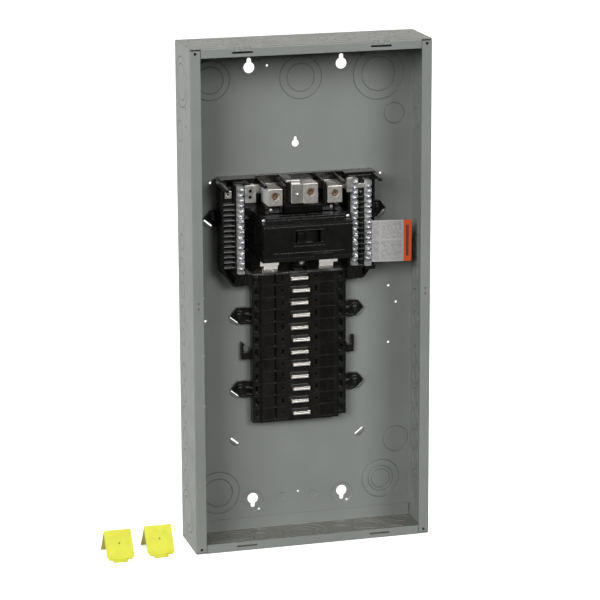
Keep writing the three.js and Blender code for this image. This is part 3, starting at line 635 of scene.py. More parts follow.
make_camera()
make_floor()
make_world()
softbox("left", -42, 24, 8.0, 4.0, 530)
softbox("right", 22, 24, 8.0, 3.2, 310)
softbox("bounce", 8, -52, 1.6, 1.2, 4)
softbox("overhead", -6, 70, 5.0, 1.3, 28)
bpy.context.scene.view_settings.view_transform = "Standard"

# ------------------------------------------------------------------ enclosure
GROOVE_WIDTH = 1.8
TOP_GROOVE_WIDTH = 2.8
SEEN_GROOVE = 1.15  # depth of a knockout's groove on the face that is seen
HIDDEN_GROOVE = 0.8  # and on the other face, where the ring is wider so that the two do not meet

KEYHOLES = {"x": 70.4, "top": 333.3, "bottom": -330.5, "radius": 8.3, "neck": 11.2, "neck_half": 3.3}
# Knockouts are given by the two places of their centre on the sheet and the radii of their rings.
BACK_KNOCKOUTS = [
    (-130, 317, (30, 20)), (8, 315, (32, 21)), (128, 315, (39, 26)), (153.4, 254.3, (15.5,)),
    (157.4, -254.5, (20,)), (133.6, -316.8, (30, 20, 15)), (-124.8, -317, (33, 22)),
]
SIDE_KNOCKOUTS = [(-40, 324, (37, 27)), (-25.5, 249.5, (15.5,)), (-40, -328, (33, 23))]
SIDE_KNOCKOUTS += [(-28, z, (12,)) for z in (84, 48, 12, -24, -60)]
SIDE_KNOCKOUTS += [(-30, z, (13,)) for z in (-114, -147, -180, -213, -246, -279)]
TOP_KNOCKOUTS = [(2, -42, (35, 22))]
TOP_KNOCKOUTS += [(side * x, -26, (12,)) for side in (-1, 1) for x in (60, 93, 126, 156)]
TOP_KNOCKOUTS += [(side * x, -64, (12,)) for side in (-1, 1) for x in (54, 84, 114, 145)]
BOTTOM_KNOCKOUTS = [(2, -41, (35, 22, 12))]
for side in (-1, 1):
    BOTTOM_KNOCKOUTS += [(side * 64, -19, (13, 8)), (side * 103, -36, (25, 16)), (side * 159, -21, (13,))]
    BOTTOM_KNOCKOUTS += [(side * 54, -68, (11,)), (side * 140, -64, (13,))]
BACK_HOLES = [
    (-43.2, 335.2), (-60.9, -348.5), (78.9, -346), (1.1, -325.5), (-131.2, 164.5), (131.2, 164.5),
    (144.7, -10.8), (-144.7, -10.8), (156.7, -37), (-140.9, -46), (144.7, -99.6), (-144.7, -99.6),
    (-144.7, -178.7),
]
LANCES = [(97.6, -47.9, 1.5), (97.6, -162.2, 1.5), (98, -236.6, 0.1)]  # x, z and how much the dome covers
BASE_EARS = {-1: -128.5, 1: 124}
BASE_EAR_Z = 113.5
KEYHOLE_DISH = 17  # radius of the recess round each keyhole
LANCE_ANGLE = 39
LANCE_LENGTH = 15
LANCE_HALF_HEIGHT = 1.2


def ring_groove(axis, a, b, radius, face, depth, width):
    """V-shaped groove round (a, b) in one face of a sheet. depth is signed along the axis."""
    half = width / 2
    profile = [(radius - half, face), (radius, face + depth), (radius + half, face), (radius, face - depth)]
    return lathe(axis, profile, a, b, 36 if radius < 18 else 60)


def knockout_grooves(axis, knockouts, seen_face, inward, width=GROOVE_WIDTH):
    """Grooves on both faces of a sheet. inward is +1 or -1 along the axis, from the seen face."""
    cutters = []
    hidden_face = seen_face + inward * SHEET
    for a, b, radii in knockouts:
        for radius in radii:
            wider = radius + width + 0.1
            cutters.append(ring_groove(axis, a, b, radius, seen_face, inward * SEEN_GROOVE, width))
            cutters.append(ring_groove(axis, a, b, wider, hidden_face, -inward * HIDDEN_GROOVE, width))
    return together(cutters)


def keyhole_cut(x, z, radius, neck_half, neck):
    """Round hole with a narrower neck, up if neck is positive and down if not."""
    steps = 20
    opening = math.asin(neck_half / radius)
    way = 1 if neck > 0 else -1
    angles = [math.pi / 2 + opening + (math.tau - 2 * opening) * i / steps for i in range(steps + 1)]
    outline = [(x + radius * math.cos(t), z + way * radius * math.sin(t)) for t in angles]
    tip = z + neck
    for i in range(9):
        t = math.pi * i / 8
        outline.append((x + neck_half * math.cos(t), tip + way * neck_half * math.sin(t)))
    return prism("y", outline, -SHEET - 1, 1)


def dish(x, z, radius, depth):
    """Shallow round recess pressed into the back panel's front face."""
    floor = -SHEET + depth
    profile = [(0, floor), (radius - depth, floor - 0.05), (radius, -SHEET - 0.02), (0, -SHEET - 0.02)]
    return lathe("y", profile, x, z, 40)


def lance_cut(side, x, z):
    half = LANCE_LENGTH / 2
    slot = block(-half, half, -SHEET - 1.2, 1, -LANCE_HALF_HEIGHT, LANCE_HALF_HEIGHT)
    return moved(turned(slot, "y", -side * LANCE_ANGLE), side * x, 0, z)


def lance_dome(side, x, z, cover):
    """The metal pushed forward along the outer edge of a lanced slot: half of an oval dome."""
    reach = 5.6
    profile = [(0, -SHEET - 2.8), (2.4, -SHEET - 2.6), (4.4, -SHEET - 1.6)]
    profile += [(reach, -SHEET + 0.4), (0, -SHEET + 0.4)]
    dome = lathe("y", profile, 0, 0, 32)
    bmesh.ops.scale(dome, vec=(LANCE_LENGTH * 0.62 / reach, 1, 1), verts=dome.verts)
    half = combine(dome, [], [block(-LANCE_LENGTH, LANCE_LENGTH, -9, 9, 0, 9)])
    half = moved(half, 0, 0, cover - LANCE_HALF_HEIGHT)
    return moved(turned(half, "y", -side * LANCE_ANGLE), side * x, 0, z)


def wrap_section():
    """Outline of the bent sheet: flange, side, back, side, flange."""
    lip = HALF_WIDTH - SIDE_FLANGE
    inner = HALF_WIDTH - SHEET
    outer_path = [(-lip, FRONT), (-HALF_WIDTH, FRONT), (-HALF_WIDTH, 0)]
    outer_path += [(HALF_WIDTH, 0), (HALF_WIDTH, FRONT), (lip, FRONT)]
    inner_path = [(lip, FRONT + SHEET), (inner, FRONT + SHEET), (inner, -SHEET)]
    inner_path += [(-inner, -SHEET), (-inner, FRONT + SHEET), (-lip, FRONT + SHEET)]
    outer_radii = [0.25] + [BEND_OUTSIDE] * 4 + [0.25]
    inner_radii = [0.25] + [BEND_INSIDE] * 4 + [0.25]
    return fillet(outer_path + inner_path, outer_radii + inner_radii, steps=4)


def flange_holes():
    cuts = []
    for side in (-1, 1):
        for radius, z in ((2.2, 372), (2.2, -372), (1.4, 6), (1.4, -2)):
            cuts.append(rod("y", radius, FRONT - 1, FRONT + SHEET + 1, side * 173, z, 20))
    return cuts


def side_wall_holes():
    cuts = []
    for side in (-1, 1):
        for y, z in ((-63, 288), (-65, 262), (-55, -366)):
            cuts.append(rod("x", 2.2, *span(side, HALF_WIDTH - 3, HALF_WIDTH + 1), y, z, 16))
    return cuts


def make_wrap():
    body = prism("z", wrap_section(), -HALF_HEIGHT, HALF_HEIGHT)
    cuts = flange_holes()
    bumps = []
    for side in (-1, 1):
        x = side * KEYHOLES["x"]
        for z, neck in ((KEYHOLES["top"], KEYHOLES["neck"]), (KEYHOLES["bottom"], -KEYHOLES["neck"])):
            cuts.append(dish(x, z + neck * 0.38, KEYHOLE_DISH, 0.9))
            cuts.append(keyhole_cut(x, z, KEYHOLES["radius"], KEYHOLES["neck_half"], neck))
        for lance_x, z, cover in LANCES + [(abs(BASE_EARS[side]) + 7, BASE_EAR_Z - 9.6, 0.3)]:
            cuts.append(lance_cut(side, lance_x, z))
            bumps.append(lance_dome(side, lance_x, z, cover))
        cuts.append(dish(side * 25, -331, 6, 0.6))
        # The end walls' corners cover the flanges' ends.
        corner = SHEET + 1.5
        for low, high in ((HALF_HEIGHT - corner, HALF_HEIGHT + 1), (-HALF_HEIGHT - 1, -HALF_HEIGHT + corner)):
            ends = span(side, HALF_WIDTH - SIDE_FLANGE - 1, HALF_WIDTH + 1)
            cuts.append(block(*ends, FRONT - 1, FRONT + 3, low, high))
    cuts.append(keyhole_cut(-0.7, 217, 5.4, 2.2, 8))
    cuts += [rod("y", 1.8, -SHEET - 1, 1, x, z, 14) for x, z in BACK_HOLES]
    cuts.append(knockout_grooves("y", BACK_KNOCKOUTS, -SHEET, 1))
    cuts.append(knockout_grooves("x", SIDE_KNOCKOUTS, -HALF_WIDTH, 1))
    cuts.append(knockout_grooves("x", SIDE_KNOCKOUTS, HALF_WIDTH - SHEET, 1))
    cuts += side_wall_holes()
    make("enclosure_wrap", combine(body, bumps, cuts), "painted_steel")


def end_wall_section():
    """Outline in Y and Z of the upper end wall: front flange, wall, back flange."""
    back = -SHEET - 0.3
    top = HALF_HEIGHT
    outer = [(FRONT, top - END_FLANGE), (FRONT, top), (back, top), (back, top - BACK_FLANGE)]
    inner = [(back - SHEET, top - BACK_FLANGE), (back - SHEET, top - SHEET)]
    inner += [(FRONT + SHEET, top - SHEET), (FRONT + SHEET, top - END_FLANGE)]
    radii = [0.25, BEND_OUTSIDE, BEND_OUTSIDE, 0.25, 0.25, BEND_INSIDE, BEND_INSIDE, 0.25]
    return fillet(outer + inner, radii, steps=4)


HOOK_X = 103.5
HOOK_HALF = 15.5
HOOK_FLAT_HALF = 4.4


def cover_hook(x, has_flats):
    """Slot for the cover's hook, with two flats in the bend above it: what to add and what to cut."""
    top = HALF_HEIGHT
    reach = 4.6
    inner = reach + 2.2
    slot = block(x - HOOK_HALF, x + HOOK_HALF, FRONT - 1, FRONT + SHEET + 1, top - 9.2, top - 6.2)
    band = [(FRONT, top - reach), (FRONT + reach, top), (FRONT + inner, top), (FRONT, top - inner)]
    corner = [(FRONT - 1, top - reach - 1), (FRONT - 1, top + 1), (FRONT + reach + 1, top + 1)]
    added, cuts = [], [slot]
    for centre in (x - 8, x + 8) if has_flats else ():
        width = (centre - HOOK_FLAT_HALF, centre + HOOK_FLAT_HALF)
        added.append(prism("x", band, *width))
        cuts.append(prism("x", corner, *width))
    return added, cuts


def make_end_wall(name, is_top):
    inner = HALF_WIDTH - SHEET - 0.3
    between = HALF_WIDTH - SIDE_FLANGE - FLANGE_GAP
    body = prism("x", end_wall_section(), -inner, inner)
    added, cuts = [], []
    for side in (-1, 1):
        # The front flange stops at the side flanges, and the back flange just short of the side walls.
        ends = span(side, between, HALF_WIDTH + 1)
        flange_low = HALF_HEIGHT - END_FLANGE - 1
        cuts.append(block(*ends, FRONT - 1, FRONT + SHEET + 1.6, flange_low, HALF_HEIGHT - SHEET))
        cuts.append(block(*ends, FRONT - 1, FRONT + 2.2, HALF_HEIGHT - SHEET - 1, HALF_HEIGHT + 1))
        ends = span(side, inner - 1.2, inner + 1)
        cuts.append(block(*ends, -SHEET - 4, 0, HALF_HEIGHT - BACK_FLANGE - 1, HALF_HEIGHT - SHEET - 1.5))
    for x in (-HOOK_X, HOOK_X):
        flats, slots = cover_hook(x, is_top)
        added += flats
        cuts += slots
    if is_top:
        cuts.append(knockout_grooves("z", TOP_KNOCKOUTS, HALF_HEIGHT, -1, TOP_GROOVE_WIDTH))
    else:
        cuts.append(knockout_grooves("z", BOTTOM_KNOCKOUTS, HALF_HEIGHT - SHEET, 1))
    wall = combine(body, added, cuts)
    if not is_top:
        bmesh.ops.scale(wall, vec=(1, 1, -1), verts=wall.verts)
        bmesh.ops.reverse_faces(wall, faces=wall.faces)
    make(name, wall, "painted_steel")


make_wrap()
make_end_wall("top_end_wall", True)
make_end_wall("bottom_end_wall", False)

# ------------------------------------------------------------------ interior mouldings
INTERIOR_BACK = -2.1
FLOOR_FRONT = -5.1
FOOT_FRONT = -8
RAIL_TOP = edges("rail_module_upper")[1].z
MODULE_LENGTH = POLE_PITCH * POLES / 2
RAIL_HALF = 73
EAR_DROP = 61.1
SOFT = 0.35  # usual edge rounding of the black mouldings


def stab_z(index):
    return RAIL_TOP - POLE_PITCH * (index + 0.5) + 3


def ear(root_x, x, z):
    """Screwed ear on the right-hand side: rounded plate, boss, stiffening rim and a gusset."""
    outline = fillet([
        (root_x, z + 10), (x - 8, z + 12), (x + 4, z + 11), (x + 14, z - 1),
        (x, z - 14), (x - 8, z - 15), (root_x, z - 13),
    ], [0, 3, 4, 4, 4, 3, 0], steps=4)
    inner = fillet([
        (root_x, z + 7.4), (x - 8, z + 9.6), (x + 3, z + 8.8), (x + 10.6, z - 1),
        (x - 1, z - 11.2), (x - 8, z - 12.4), (root_x, z - 10.4),
    ], [0, 2, 3, 3, 3, 2, 0], steps=3)
    plate = prism("y", outline, FOOT_FRONT, INTERIOR_BACK, soft=0.5)
    boss = rod("y", 6.6, -9.6, -4, x, z, 28, soft=0.4)
    start = root_x - 0.5
    gusset = prism("z", [(start, -4), (start, -15), (root_x + 2, -14), (x - 6, -7)], z - 1.2, z + 1.2, 0.3)
    low_rib = prism("z", [(start, -4), (start, -12), (x - 9, -7)], z - 11.5, z - 9.5, 0.3)
    recess = prism("y", inner, FOOT_FRONT - 1, FOOT_FRONT + 1.6)
    hole = rod("y", 2.6, -11, 0, x, z, 20)
    counter = rod("y", 4.9, -11, -8.4, x, z, 28)
    return combine(plate, [], [recess]), [boss, gusset, low_rib], [hole, counter]


def add_ear(side, root_x, x, z, added, removed):
    plate, extras, holes = ear(root_x, x, z)
    added.append(on_side(side, plate))
    added += [on_side(side, part) for part in extras]
    removed += [on_side(side, part) for part in holes]


def rail_section():
    """Across the rail: stepped sides, a raised edge, a groove on the left and fine ribs on the right."""
    back = INTERIOR_BACK
    face, ridge, shelf, rim = -18.5, -19.2, -15.5, -16.6
    outline = [(-RAIL_HALF, back), (-RAIL_HALF, rim), (-71.4, rim), (-71.4, shelf), (-60, shelf)]
    outline += [(-60, ridge), (-58.4, ridge), (-58.4, face), (-39.2, face), (-39.2, -14.6)]
    outline += [(-36.0, -14.6), (-36.0, face)]
    for x in (33, 36.6, 40.2, 43.8, 47.4, 51):
        outline += [(x, face), (x, -16.8), (x + 1.3, -16.8), (x + 1.3, face)]
    outline += [(58.4, face), (58.4, ridge), (60, ridge), (60, shelf), (71.4, shelf), (71.4, rim)]
    outline += [(RAIL_HALF, rim), (RAIL_HALF, back)]
    outline += [(70.5, back), (70.5, -13), (-70.5, -13), (-70.5, back)]
    return fillet(outline, 0.3, steps=2)


def pole_parts(pole, has_joint, added, removed):
    """One breaker position: stab pocket and sill, hook windows with their tongues, ribs at its joint."""
    z = stab_z(pole)
    joint = z - POLE_PITCH / 2
    hand = -1 if pole % 2 == 0 else 1
    removed.append(block(*span(hand, -12.6, 15.2), -30, -10, z - 4.2, z + 4.2, soft=0.5))
    added.append(block(-13.5, 13.5, -20.2, -14, z + 4.4, z + 5.6, soft=0.3))
    for side in (-1, 1):
        if has_joint:
            added.append(block(*span(side, 22, 57), -18.9, -15, joint - 0.3, joint + 0.3))
            added.append(block(*span(side, 61, 72), -16.0, -13.5, joint - 0.3, joint + 0.3))
        tall = 4.6 if (pole + (side > 0)) % 2 == 0 else 2.2
        removed.append(block(*span(side, 24.5, 27.7), -30, -9, z - tall, z + tall, soft=0.3))
        removed.append(block(*span(side, 62.5, 68.5), -30, -9, z - 5.4, z + 5.4, soft=0.4))
        added.append(block(*span(side, 64, 66), -11, -8, z - 6, z - 2.5, soft=0.3))


def rail_module(name, index):
    """Half of the rail: six breaker positions, two ears, and the step where the halves meet."""
    upper = index == 0
    top = RAIL_TOP - index * (MODULE_LENGTH + 0.3)
    bottom = RAIL_TOP - MODULE_LENGTH if upper else RAIL_TOP - 2 * MODULE_LENGTH
    body = prism("z", rail_section(), bottom, top)
    added, removed = [], []
    first_pole = index * POLES // 2
    for pole in range(first_pole, first_pole + POLES // 2):
        has_joint = bottom + 1 < stab_z(pole) - POLE_PITCH / 2 < top - 1
        pole_parts(pole, has_joint, added, removed)
    screw_z = RAIL_TOP - EAR_DROP - index * MODULE_LENGTH
    for side in (-1, 1):
        add_ear(side, RAIL_HALF - 0.4, 90, screw_z, added, removed)
        if not upper:
            added += [on_side(side, part) for part in rail_latch(top)]
    # The joint between the two modules is stepped: higher on the right.
    step = 4.2
    if upper:
        removed.append(block(24, RAIL_HALF + 1, -30, 0, bottom - 1, bottom + step))
    else:
        # The right-hand step ends a little higher than the rest.
        removed.append(block(60, RAIL_HALF + 1, -30, 1, bottom - 1, bottom + 3.5))
        lift = prism("z", rail_section(), top - 1, top + step - 0.3)
        added.append(combine(lift, [], [block(-RAIL_HALF - 1, 24.3, -30, 0, top - 2, top + step + 1)]))
    make(name, combine(body, added, removed), "black_plastic")


def rail_latch(top):
    """Latch that joins the two modules: a foot, a springy finger with a hooked tip, and a web."""
    root = RAIL_HALF - 0.5
    foot = block(root, 88, -9, INTERIOR_BACK, top - 16, top - 4, soft=0.7)
    finger = prism("y", fillet([
        (84.4, top - 6), (88, top - 6), (88, top + 11), (85.4, top + 11), (83.2, top + 7.5), (84.6, top + 5)],
        0.6, steps=2), -9, INTERIOR_BACK, soft=0.3)
    web = block(root, 76, -12, INTERIOR_BACK, top - 13, top + 2, soft=0.5)
    return [foot, finger, web]


def comb_parts():
    """Slotted comb beside the left bar."""
    added = [block(-119.4, -100.6, -24.6, FLOOR_FRONT + 0.4, 37, 160, soft=SOFT)]
    for z in WIRE_PLACES:
        # The rib's front leans back a little at its top, where it catches the light.
        profile = [(-24, z - 1.3), (-31, z - 1.0), (-31, z + 0.2)]
        profile += [(-30.7, z + 0.95), (-30.1, z + 1.25), (-24, z + 1.3)]
        added.append(prism("x", profile, -119.4, -101.5))
    added.append(block(-119.6, -117.8, -29, -24, 38, 137, soft=0.3))
    return added


def right_rib_parts():
    added = [block(87.6, 97.2, -27, -20, 33, 148, soft=0.3)]
    for z in WIRE_PLACES:
        added.append(block(88, 96.8, -33, -26, z - 1.3, z + 1.3, soft=0.3))
        added.append(block(91.6, 93.2, -31, -26, z + 1.2, z + WIRE_PITCH - 1.2, soft=0.2))
    return added


def well_pins():
    """Bright pins in the well between the two right-hand bars."""
    pins = [lathe("y", [(0, -29), (1.0, -28.8), (1.5, -28.2), (1.5, -26.5), (0, -26.5)], 92.6, z, 14)
            for z in (63.8, 95.6, 127.4, 143.3)]
    piece("well_pins", together(pins), "tin_plate")


def lug_wall_parts():
    """Fins and hoods that keep the three lugs apart, and the ledges below them."""
    root = FLOOR_FRONT + 0.4
    front = edges("line_lug_a")[0].y
    added = [
        block(-27, 21, -44.7, root, 131, 168, soft=SOFT),
        # Arms that reach forward at the two upper corners.
        prism("x", fillet([(root, 163.5), (-76, 164), (-76, 169), (root, 172)], 0.8, 2), -125.5, -121, 0.4),
        prism("x", fillet([(root, 163.5), (-60, 164), (-60, 169), (root, 172)], 0.8, 2), 112, 116, 0.4),
    ]
    for side in (-1, 1):
        wall, hood = side * 31.1, side * 59.7
        fin = [(root, 119.5), (-31, 119.5), (-33, 131), (front, 134), (front, 166.5), (root, 168)]
        added.append(prism("x", fillet(fin, [0, 0.6, 2, 1, 1.2, 0], 3), wall - 1.5, wall + 1.5, 0.4))
        cap = [(root, 160), (front, 162), (front, 167), (root, 168.5)]
        added.append(prism("x", fillet(cap, 0.7, 2), hood - 2.2, hood + 2.2, 0.4))
        ledge = [(root, 119), (-30, 119), (-30, 130), (-27.5, 132), (root, 132)]
        added.append(prism("x", fillet(ledge, 0.5, 2), *span(side, 33, 56), 0.3))
        added.append(block(*span(side, 50.5, 56), -34, root, 119, 128.5, soft=0.4))
    # Stepped apron below the neutral lug.
    apron = [(root, 119), (-36, 119), (-40, 124), (-44.6, 131.4), (root, 131.4)]
    added.append(prism("x", fillet(apron, 0.6, 2), -27, 30, 0.3))
    return added


BASE_LEFT, BASE_RIGHT, BASE_TOP, BASE_BOTTOM = -122, 116, 173.5, 9
BASE_ROOT = FLOOR_FRONT + 0.4  # parts that stand on the base's floor start here


def base_floor():
    left, right, top, bottom = BASE_LEFT, BASE_RIGHT, BASE_TOP, BASE_BOTTOM
    outline = [(left, top), (right, top), (right, 26), (100, bottom), (74, bottom), (74, RAIL_TOP + 0.6)]
    outline += [(-74, RAIL_TOP + 0.6), (-74, bottom), (-101, bottom), (left, 34)]
    rounded = fillet(outline, [2, 2, 3, 3, 2, 0, 0, 2, 3, 3], 3)
    return prism("y", rounded, FLOOR_FRONT, INTERIOR_BACK, soft=0.4)


def base_rims():
    """Walls along the base's edges. The upper one is low in the middle, where the supply wires come in."""
    left, right, top, root = BASE_LEFT, BASE_RIGHT, BASE_TOP, BASE_ROOT
    left_slant = fillet([(left, 38), (-119, 38), (-101, 12), (-103, 9.4)], 0.5, 2)
    right_slant = fillet([(113, 31), (right, 31), (101, 9.6), (98, 11)], 0.5, 2)
    return [
        block(left, -119, -33, root, 36, top, soft=SOFT),
        prism("y", left_slant, -24, root, 0.3),
        block(112.6, right, -24, root, 30, top, soft=SOFT),
        prism("y", right_slant, -20, root, 0.3),
        block(left, right, -12, root, 171.2, top, soft=SOFT),
        block(left, -68, -27, root, 171.2, top, soft=SOFT),
        block(68, right, -27, root, 171.2, top, soft=SOFT),
    ]


def base_blocks():
    """Blocks in the lower half and the trays under the bars."""
    root, bottom = BASE_ROOT, BASE_BOTTOM
    return [
        # Lower corner blocks.
        block(-100, -74, -22, root, bottom, 27.4, soft=0.6),
        block(74, 98, -22, root, bottom, 27.4, soft=0.6),
        # Post for the hold-down screw, with two ribs.
        block(-10, 10, -30, root, 36.3, 50.3, soft=0.6),
        block(-11.8, -10, -26, root, 27, 50.3, soft=0.3),
        block(10, 11.8, -26, root, 27, 50.3, soft=0.3),
        # Trays.
        block(-101, -85, -26, root, 27, 168, soft=0.4),
        block(74, 113, -26, root, 27, 168, soft=0.4),
        block(-102.6, -100.6, -30, root, 30, 166, soft=0.3),
        block(110.4, 112.8, -31, root, 30, 163, soft=0.3),
        block(-103.5, -83, -28.5, root, 27, 30, soft=0.4),
        block(75, 110, -28.5, root, 27, 31, soft=0.4),
    ]


def base_ribs():
    """Ribs in the well between the left tray and the breaker, and on the lower corner blocks."""
    ribs = [block(-85.4, -76, -14, BASE_ROOT, z - 0.8, z + 0.8, soft=0.25) for z in range(46, 127, 16)]
    for x in (-96, -88, -80, 80, 88, 95):
        ribs.append(block(x - 0.9, x + 0.9, -23.4, BASE_ROOT, 10, 24, soft=0.25))
    return ribs


def base_bridges():
    root = BASE_ROOT
    return [
        # Cover over the neutral riser, and bridges over the bus bars' cross pieces.
        block(-29.5, -16.6, -39.4, root, 171.2, 173, soft=0.4),
        block(-31.5, -11, -11.6, -9, 23.4, 37, soft=0.3),
        block(11, 31.5, -11.6, -9, 23.4, 37, soft=0.3),
        # Stop behind the neutral strap's left tab.
        block(-81.6, -74.6, -34, root, 160.7, 163, soft=0.3),
        block(-81.6, -74.6, -34, -9, 151, 161.2, soft=0.3),
        # Foot below the far right bar.
        block(99, 115.4, -31, root, 24, 31.4, soft=0.6),
    ]


def base_cuts():
    return [
        # Channel for the neutral cross strap and its riser.
        block(-85, 74, -8.3, FLOOR_FRONT - 0.01, 145.7, 160.3),
        block(-28.3, -17.7, -8.3, FLOOR_FRONT - 0.01, 160, 171),
        # Room for the neutral lug and for the lug screws' straps.
        block(-4, 21.4, -45.1, -21.7, 130.6, 168.4),
        block(-56.1, -35.1, -11, -8, 118, 133),
        block(35.1, 56.1, -11, -8, 118, 133),
        # Windows in the comb and in the right-hand ribs, and the hold-down screw's hole.
        block(-116, -104.9, -32, -25, 144.7, 156.3),
        block(86.4, 98.4, -34, -27.4, 149.8, 156.2),
        rod("y", 2.4, -31, -14, 0, 43.3, 20),
    ]


def upper_base():
    added = base_rims() + base_blocks() + base_ribs() + base_bridges()
    added += comb_parts() + right_rib_parts() + lug_wall_parts()
    removed = base_cuts()
    for side, root_x in ((-1, 121), (1, 115)):
        add_ear(side, root_x, abs(BASE_EARS[side]), BASE_EAR_Z, added, removed)
        removed.append(rod("y", 2, -35, -14, side * 46.4, 124, 20))
    make("upper_base", combine(base_floor(), added, removed), "black_plastic")


upper_base()
well_pins()
rail_module("rail_module_upper", 0)
rail_module("rail_module_lower", 1)

# ------------------------------------------------------------------ conductors and bars
SIDES = (("a", -1), ("b", 1))


STAB_NEAR, STAB_FAR = -11.9, 14.5  # ends of a stab, the far one on its own bus bar's side
STAB_FRONT, STAB_BACK = -26, -12
STAB_HALF = 2.4


def folded_stab(side, z):
    """One stab: a bright strip folded back on itself, so that two edges face forward."""
    across = span(side, STAB_NEAR, STAB_FAR)
    flared = span(side, STAB_FAR - 2, STAB_FAR)
    return [
        block(*across, STAB_FRONT, STAB_BACK, z + 0.3, z + STAB_HALF, soft=0.5),
        block(*across, STAB_FRONT, STAB_BACK, z - STAB_HALF, z - 0.3, soft=0.5),
        block(*across, STAB_FRONT + 1, STAB_BACK, z - 1, z + 1),
        block(*flared, STAB_FRONT + 0.2, STAB_BACK, z - 3, z + 3, soft=0.6),
    ]


PLATE_LEAN = 16
PLATE_THICKNESS = 2.2


def leaning_plate(x, width, bottom, top, y):
    """Plate that faces the front and leans forward at its top."""
    half = (top - bottom) / 2
    front = -PLATE_THICKNESS / 2
    plate = block(x - width / 2, x + width / 2, front, -front, -half, half, soft=0.5)
    return moved(turned(plate, "x", PLATE_LEAN), 0, y, (top + bottom) / 2)


def bus_bar(letter, side):
    back = FLOOR_FRONT - 0.3
    front = back - 3
    last = stab_z(POLES - 1)
    strip = block(*span(side, 15, 24), front, back, last - 5, 30, soft=0.4)
    added = [
        block(*span(side, 15, 55), front, back, 24, 31, soft=0.4),
        block(*span(side, 33, 54), -14, back, 28.4, 31, soft=0.5),
        leaning_plate(side * 43, 22, 24, 38, -12.75),
    ]
    foot = span(side, STAB_NEAR, 20)
    for pole in range(0 if side < 0 else 1, POLES, 2):
        z = stab_z(pole)
        added += folded_stab(side, z)
        added.append(block(*foot, STAB_BACK - 0.5, front + 0.5, z - STAB_HALF, z + STAB_HALF, soft=0.4))
    make(f"bus_bar_{letter}", combine(strip, added), "tin_plate")


def neutral_strap():
    back = FLOOR_FRONT - 0.3
    front = back - 2.5
    run = block(-84.6, 73.6, front, back, 146, 160, soft=0.4)
    added = [
        block(-84.6, -82.1, -38.8, back, 146, 160, soft=0.6),
        block(-87.7, -71, -38.8, -36.3, 139, 165, soft=0.5),
        block(71.1, 73.6, -38.8, back, 146, 160, soft=0.6),
        block(68, 77, -38.8, -36.3, 146, 168, soft=0.5),
        block(-28, -18, front, back, 159.6, 170.8, soft=0.4),
        block(-28, -18, -47.7, back, 168.3, 170.8, soft=0.5),
        block(-28, -6, -47.7, -40, 168.3, 170.8, soft=0.5),
        block(-20, -6, -47.7, -45, 137.2, 170.8, soft=0.5),
    ]
    removed = [
        rod("y", 2.6, -39.5, -36, -79.5, 156.5, 20),
        block(-82, -77.6, -39.5, -36, 144.8, 149.2, soft=0.3),
        rod("y", 2.2, -48, -44, -12.2, 150, 20),
    ]
    make("neutral_strap", combine(run, added, removed), "tin_plate")


def slotted_head(x, y, z, radius, turn):
    """Cheese-head screw of a wire position, slot and all."""
    top = y - 2.6
    profile = [(0, y + 1), (radius, y + 1), (radius, top + 0.7)]
    profile += [(radius - 0.25, top + 0.25), (radius - 0.8, top), (0, top)]
    head = lathe("y", profile, x, z, 20)
    slot = turned(block(-radius - 1, radius + 1, top - 1, top + 1.1, -0.5, 0.5), "y", turn)
    return combine(head, [], [moved(slot, x, 0, z)])


def neutral_bar(name, slots):
    """Extruded bar with a wire bore and a clamp screw at each position; screws alternate sideways."""
    low, high = edges(name)
    back, front = high.y, high.y - 9.7
    middle = (low.x + high.x) / 2
    section = [(low.x, back), (high.x, back), (high.x, front), (low.x, front)]
    bar = prism("z", fillet(section, 0.7, 3), low.z, high.z)
    count = int((high.z - low.z - 4) / WIRE_PITCH)
    first = (low.z + high.z) / 2 - (count - 1) / 2 * WIRE_PITCH
    bores, heads = [], []
    for index in range(count):
        z = first + index * WIRE_PITCH
        offset = -1.1 if index % 2 == 0 else 1.1
        bores.append(rod("x", 2.6, low.x - 1, high.x + 1, back - 4.4, z, 16))
        bores.append(rod("y", 3.3, front - 1, front + 0.5, middle + offset, z, 20))
        heads.append(slotted_head(middle + offset, front, z, 2.95, slots.uniform(0, 180)))
        # Wire entry scallops alternate with the screws.
        edge = low.x if offset > 0 else high.x
        bores.append(rod("y", 2.0, front - 1, front + 6, edge, z, 16))
    finish(make(name, combine(bar, [], bores), "aluminium"), "bar_aluminium")
    piece(name + "_screws", together(heads), "zinc_steel")


def box_lug(x, width, low, high, screw_z, bore_y):
    """Machined lug: chamfered block, wire bore through it, screw hole in front."""
    body = block(x - width / 2, x + width / 2, low.y, high.y, low.z, high.z, soft=0.9)
    reach = width * 0.36
    front, top = low.y - 0.2, high.z + 0.1
    bore = rod("z", reach, low.z - 1, high.z + 1, x, bore_y, 40)
    hole = rod("y", 5.3, low.y - 1, bore_y, x, screw_z, 32)
    chamfer = lathe("y", [(0, front), (6.3, front), (5.2, low.y + 0.9), (0, low.y + 0.9)], x, screw_z, 32)
    rim = [(0, top), (reach + 0.9, top), (reach - 0.1, high.z - 0.9), (0, high.z - 0.9)]
    mouth = lathe("z", rim, x, bore_y, 40)
    return combine(body, [], [bore, hole, chamfer, mouth])


def line_lug(letter):
    low, high = edges(f"line_lug_{letter}")
    middle = (low.x + high.x) / 2
    make(f"line_lug_{letter}", box_lug(middle, 22, low, high, 149.2, -26), "aluminium")


def neutral_lug():
    low, high = edges("neutral_lug")
    body = box_lug(8.6, 22, Vector((0, low.y, low.z)), Vector((0, high.y, high.z)), 153, -36)
    make("neutral_lug", body, "aluminium")
    tang = block(-20, -1.5, -53, -48, 137, 166, soft=0.6)
    hole = rod("y", 2.4, -54, -47, -12.2, 150, 20)
    # The tang takes the darker copy of the aluminium.
    finish(piece("neutral_lug_tang", combine(tang, [], [hole]), "aluminium"), "darker_aluminium")


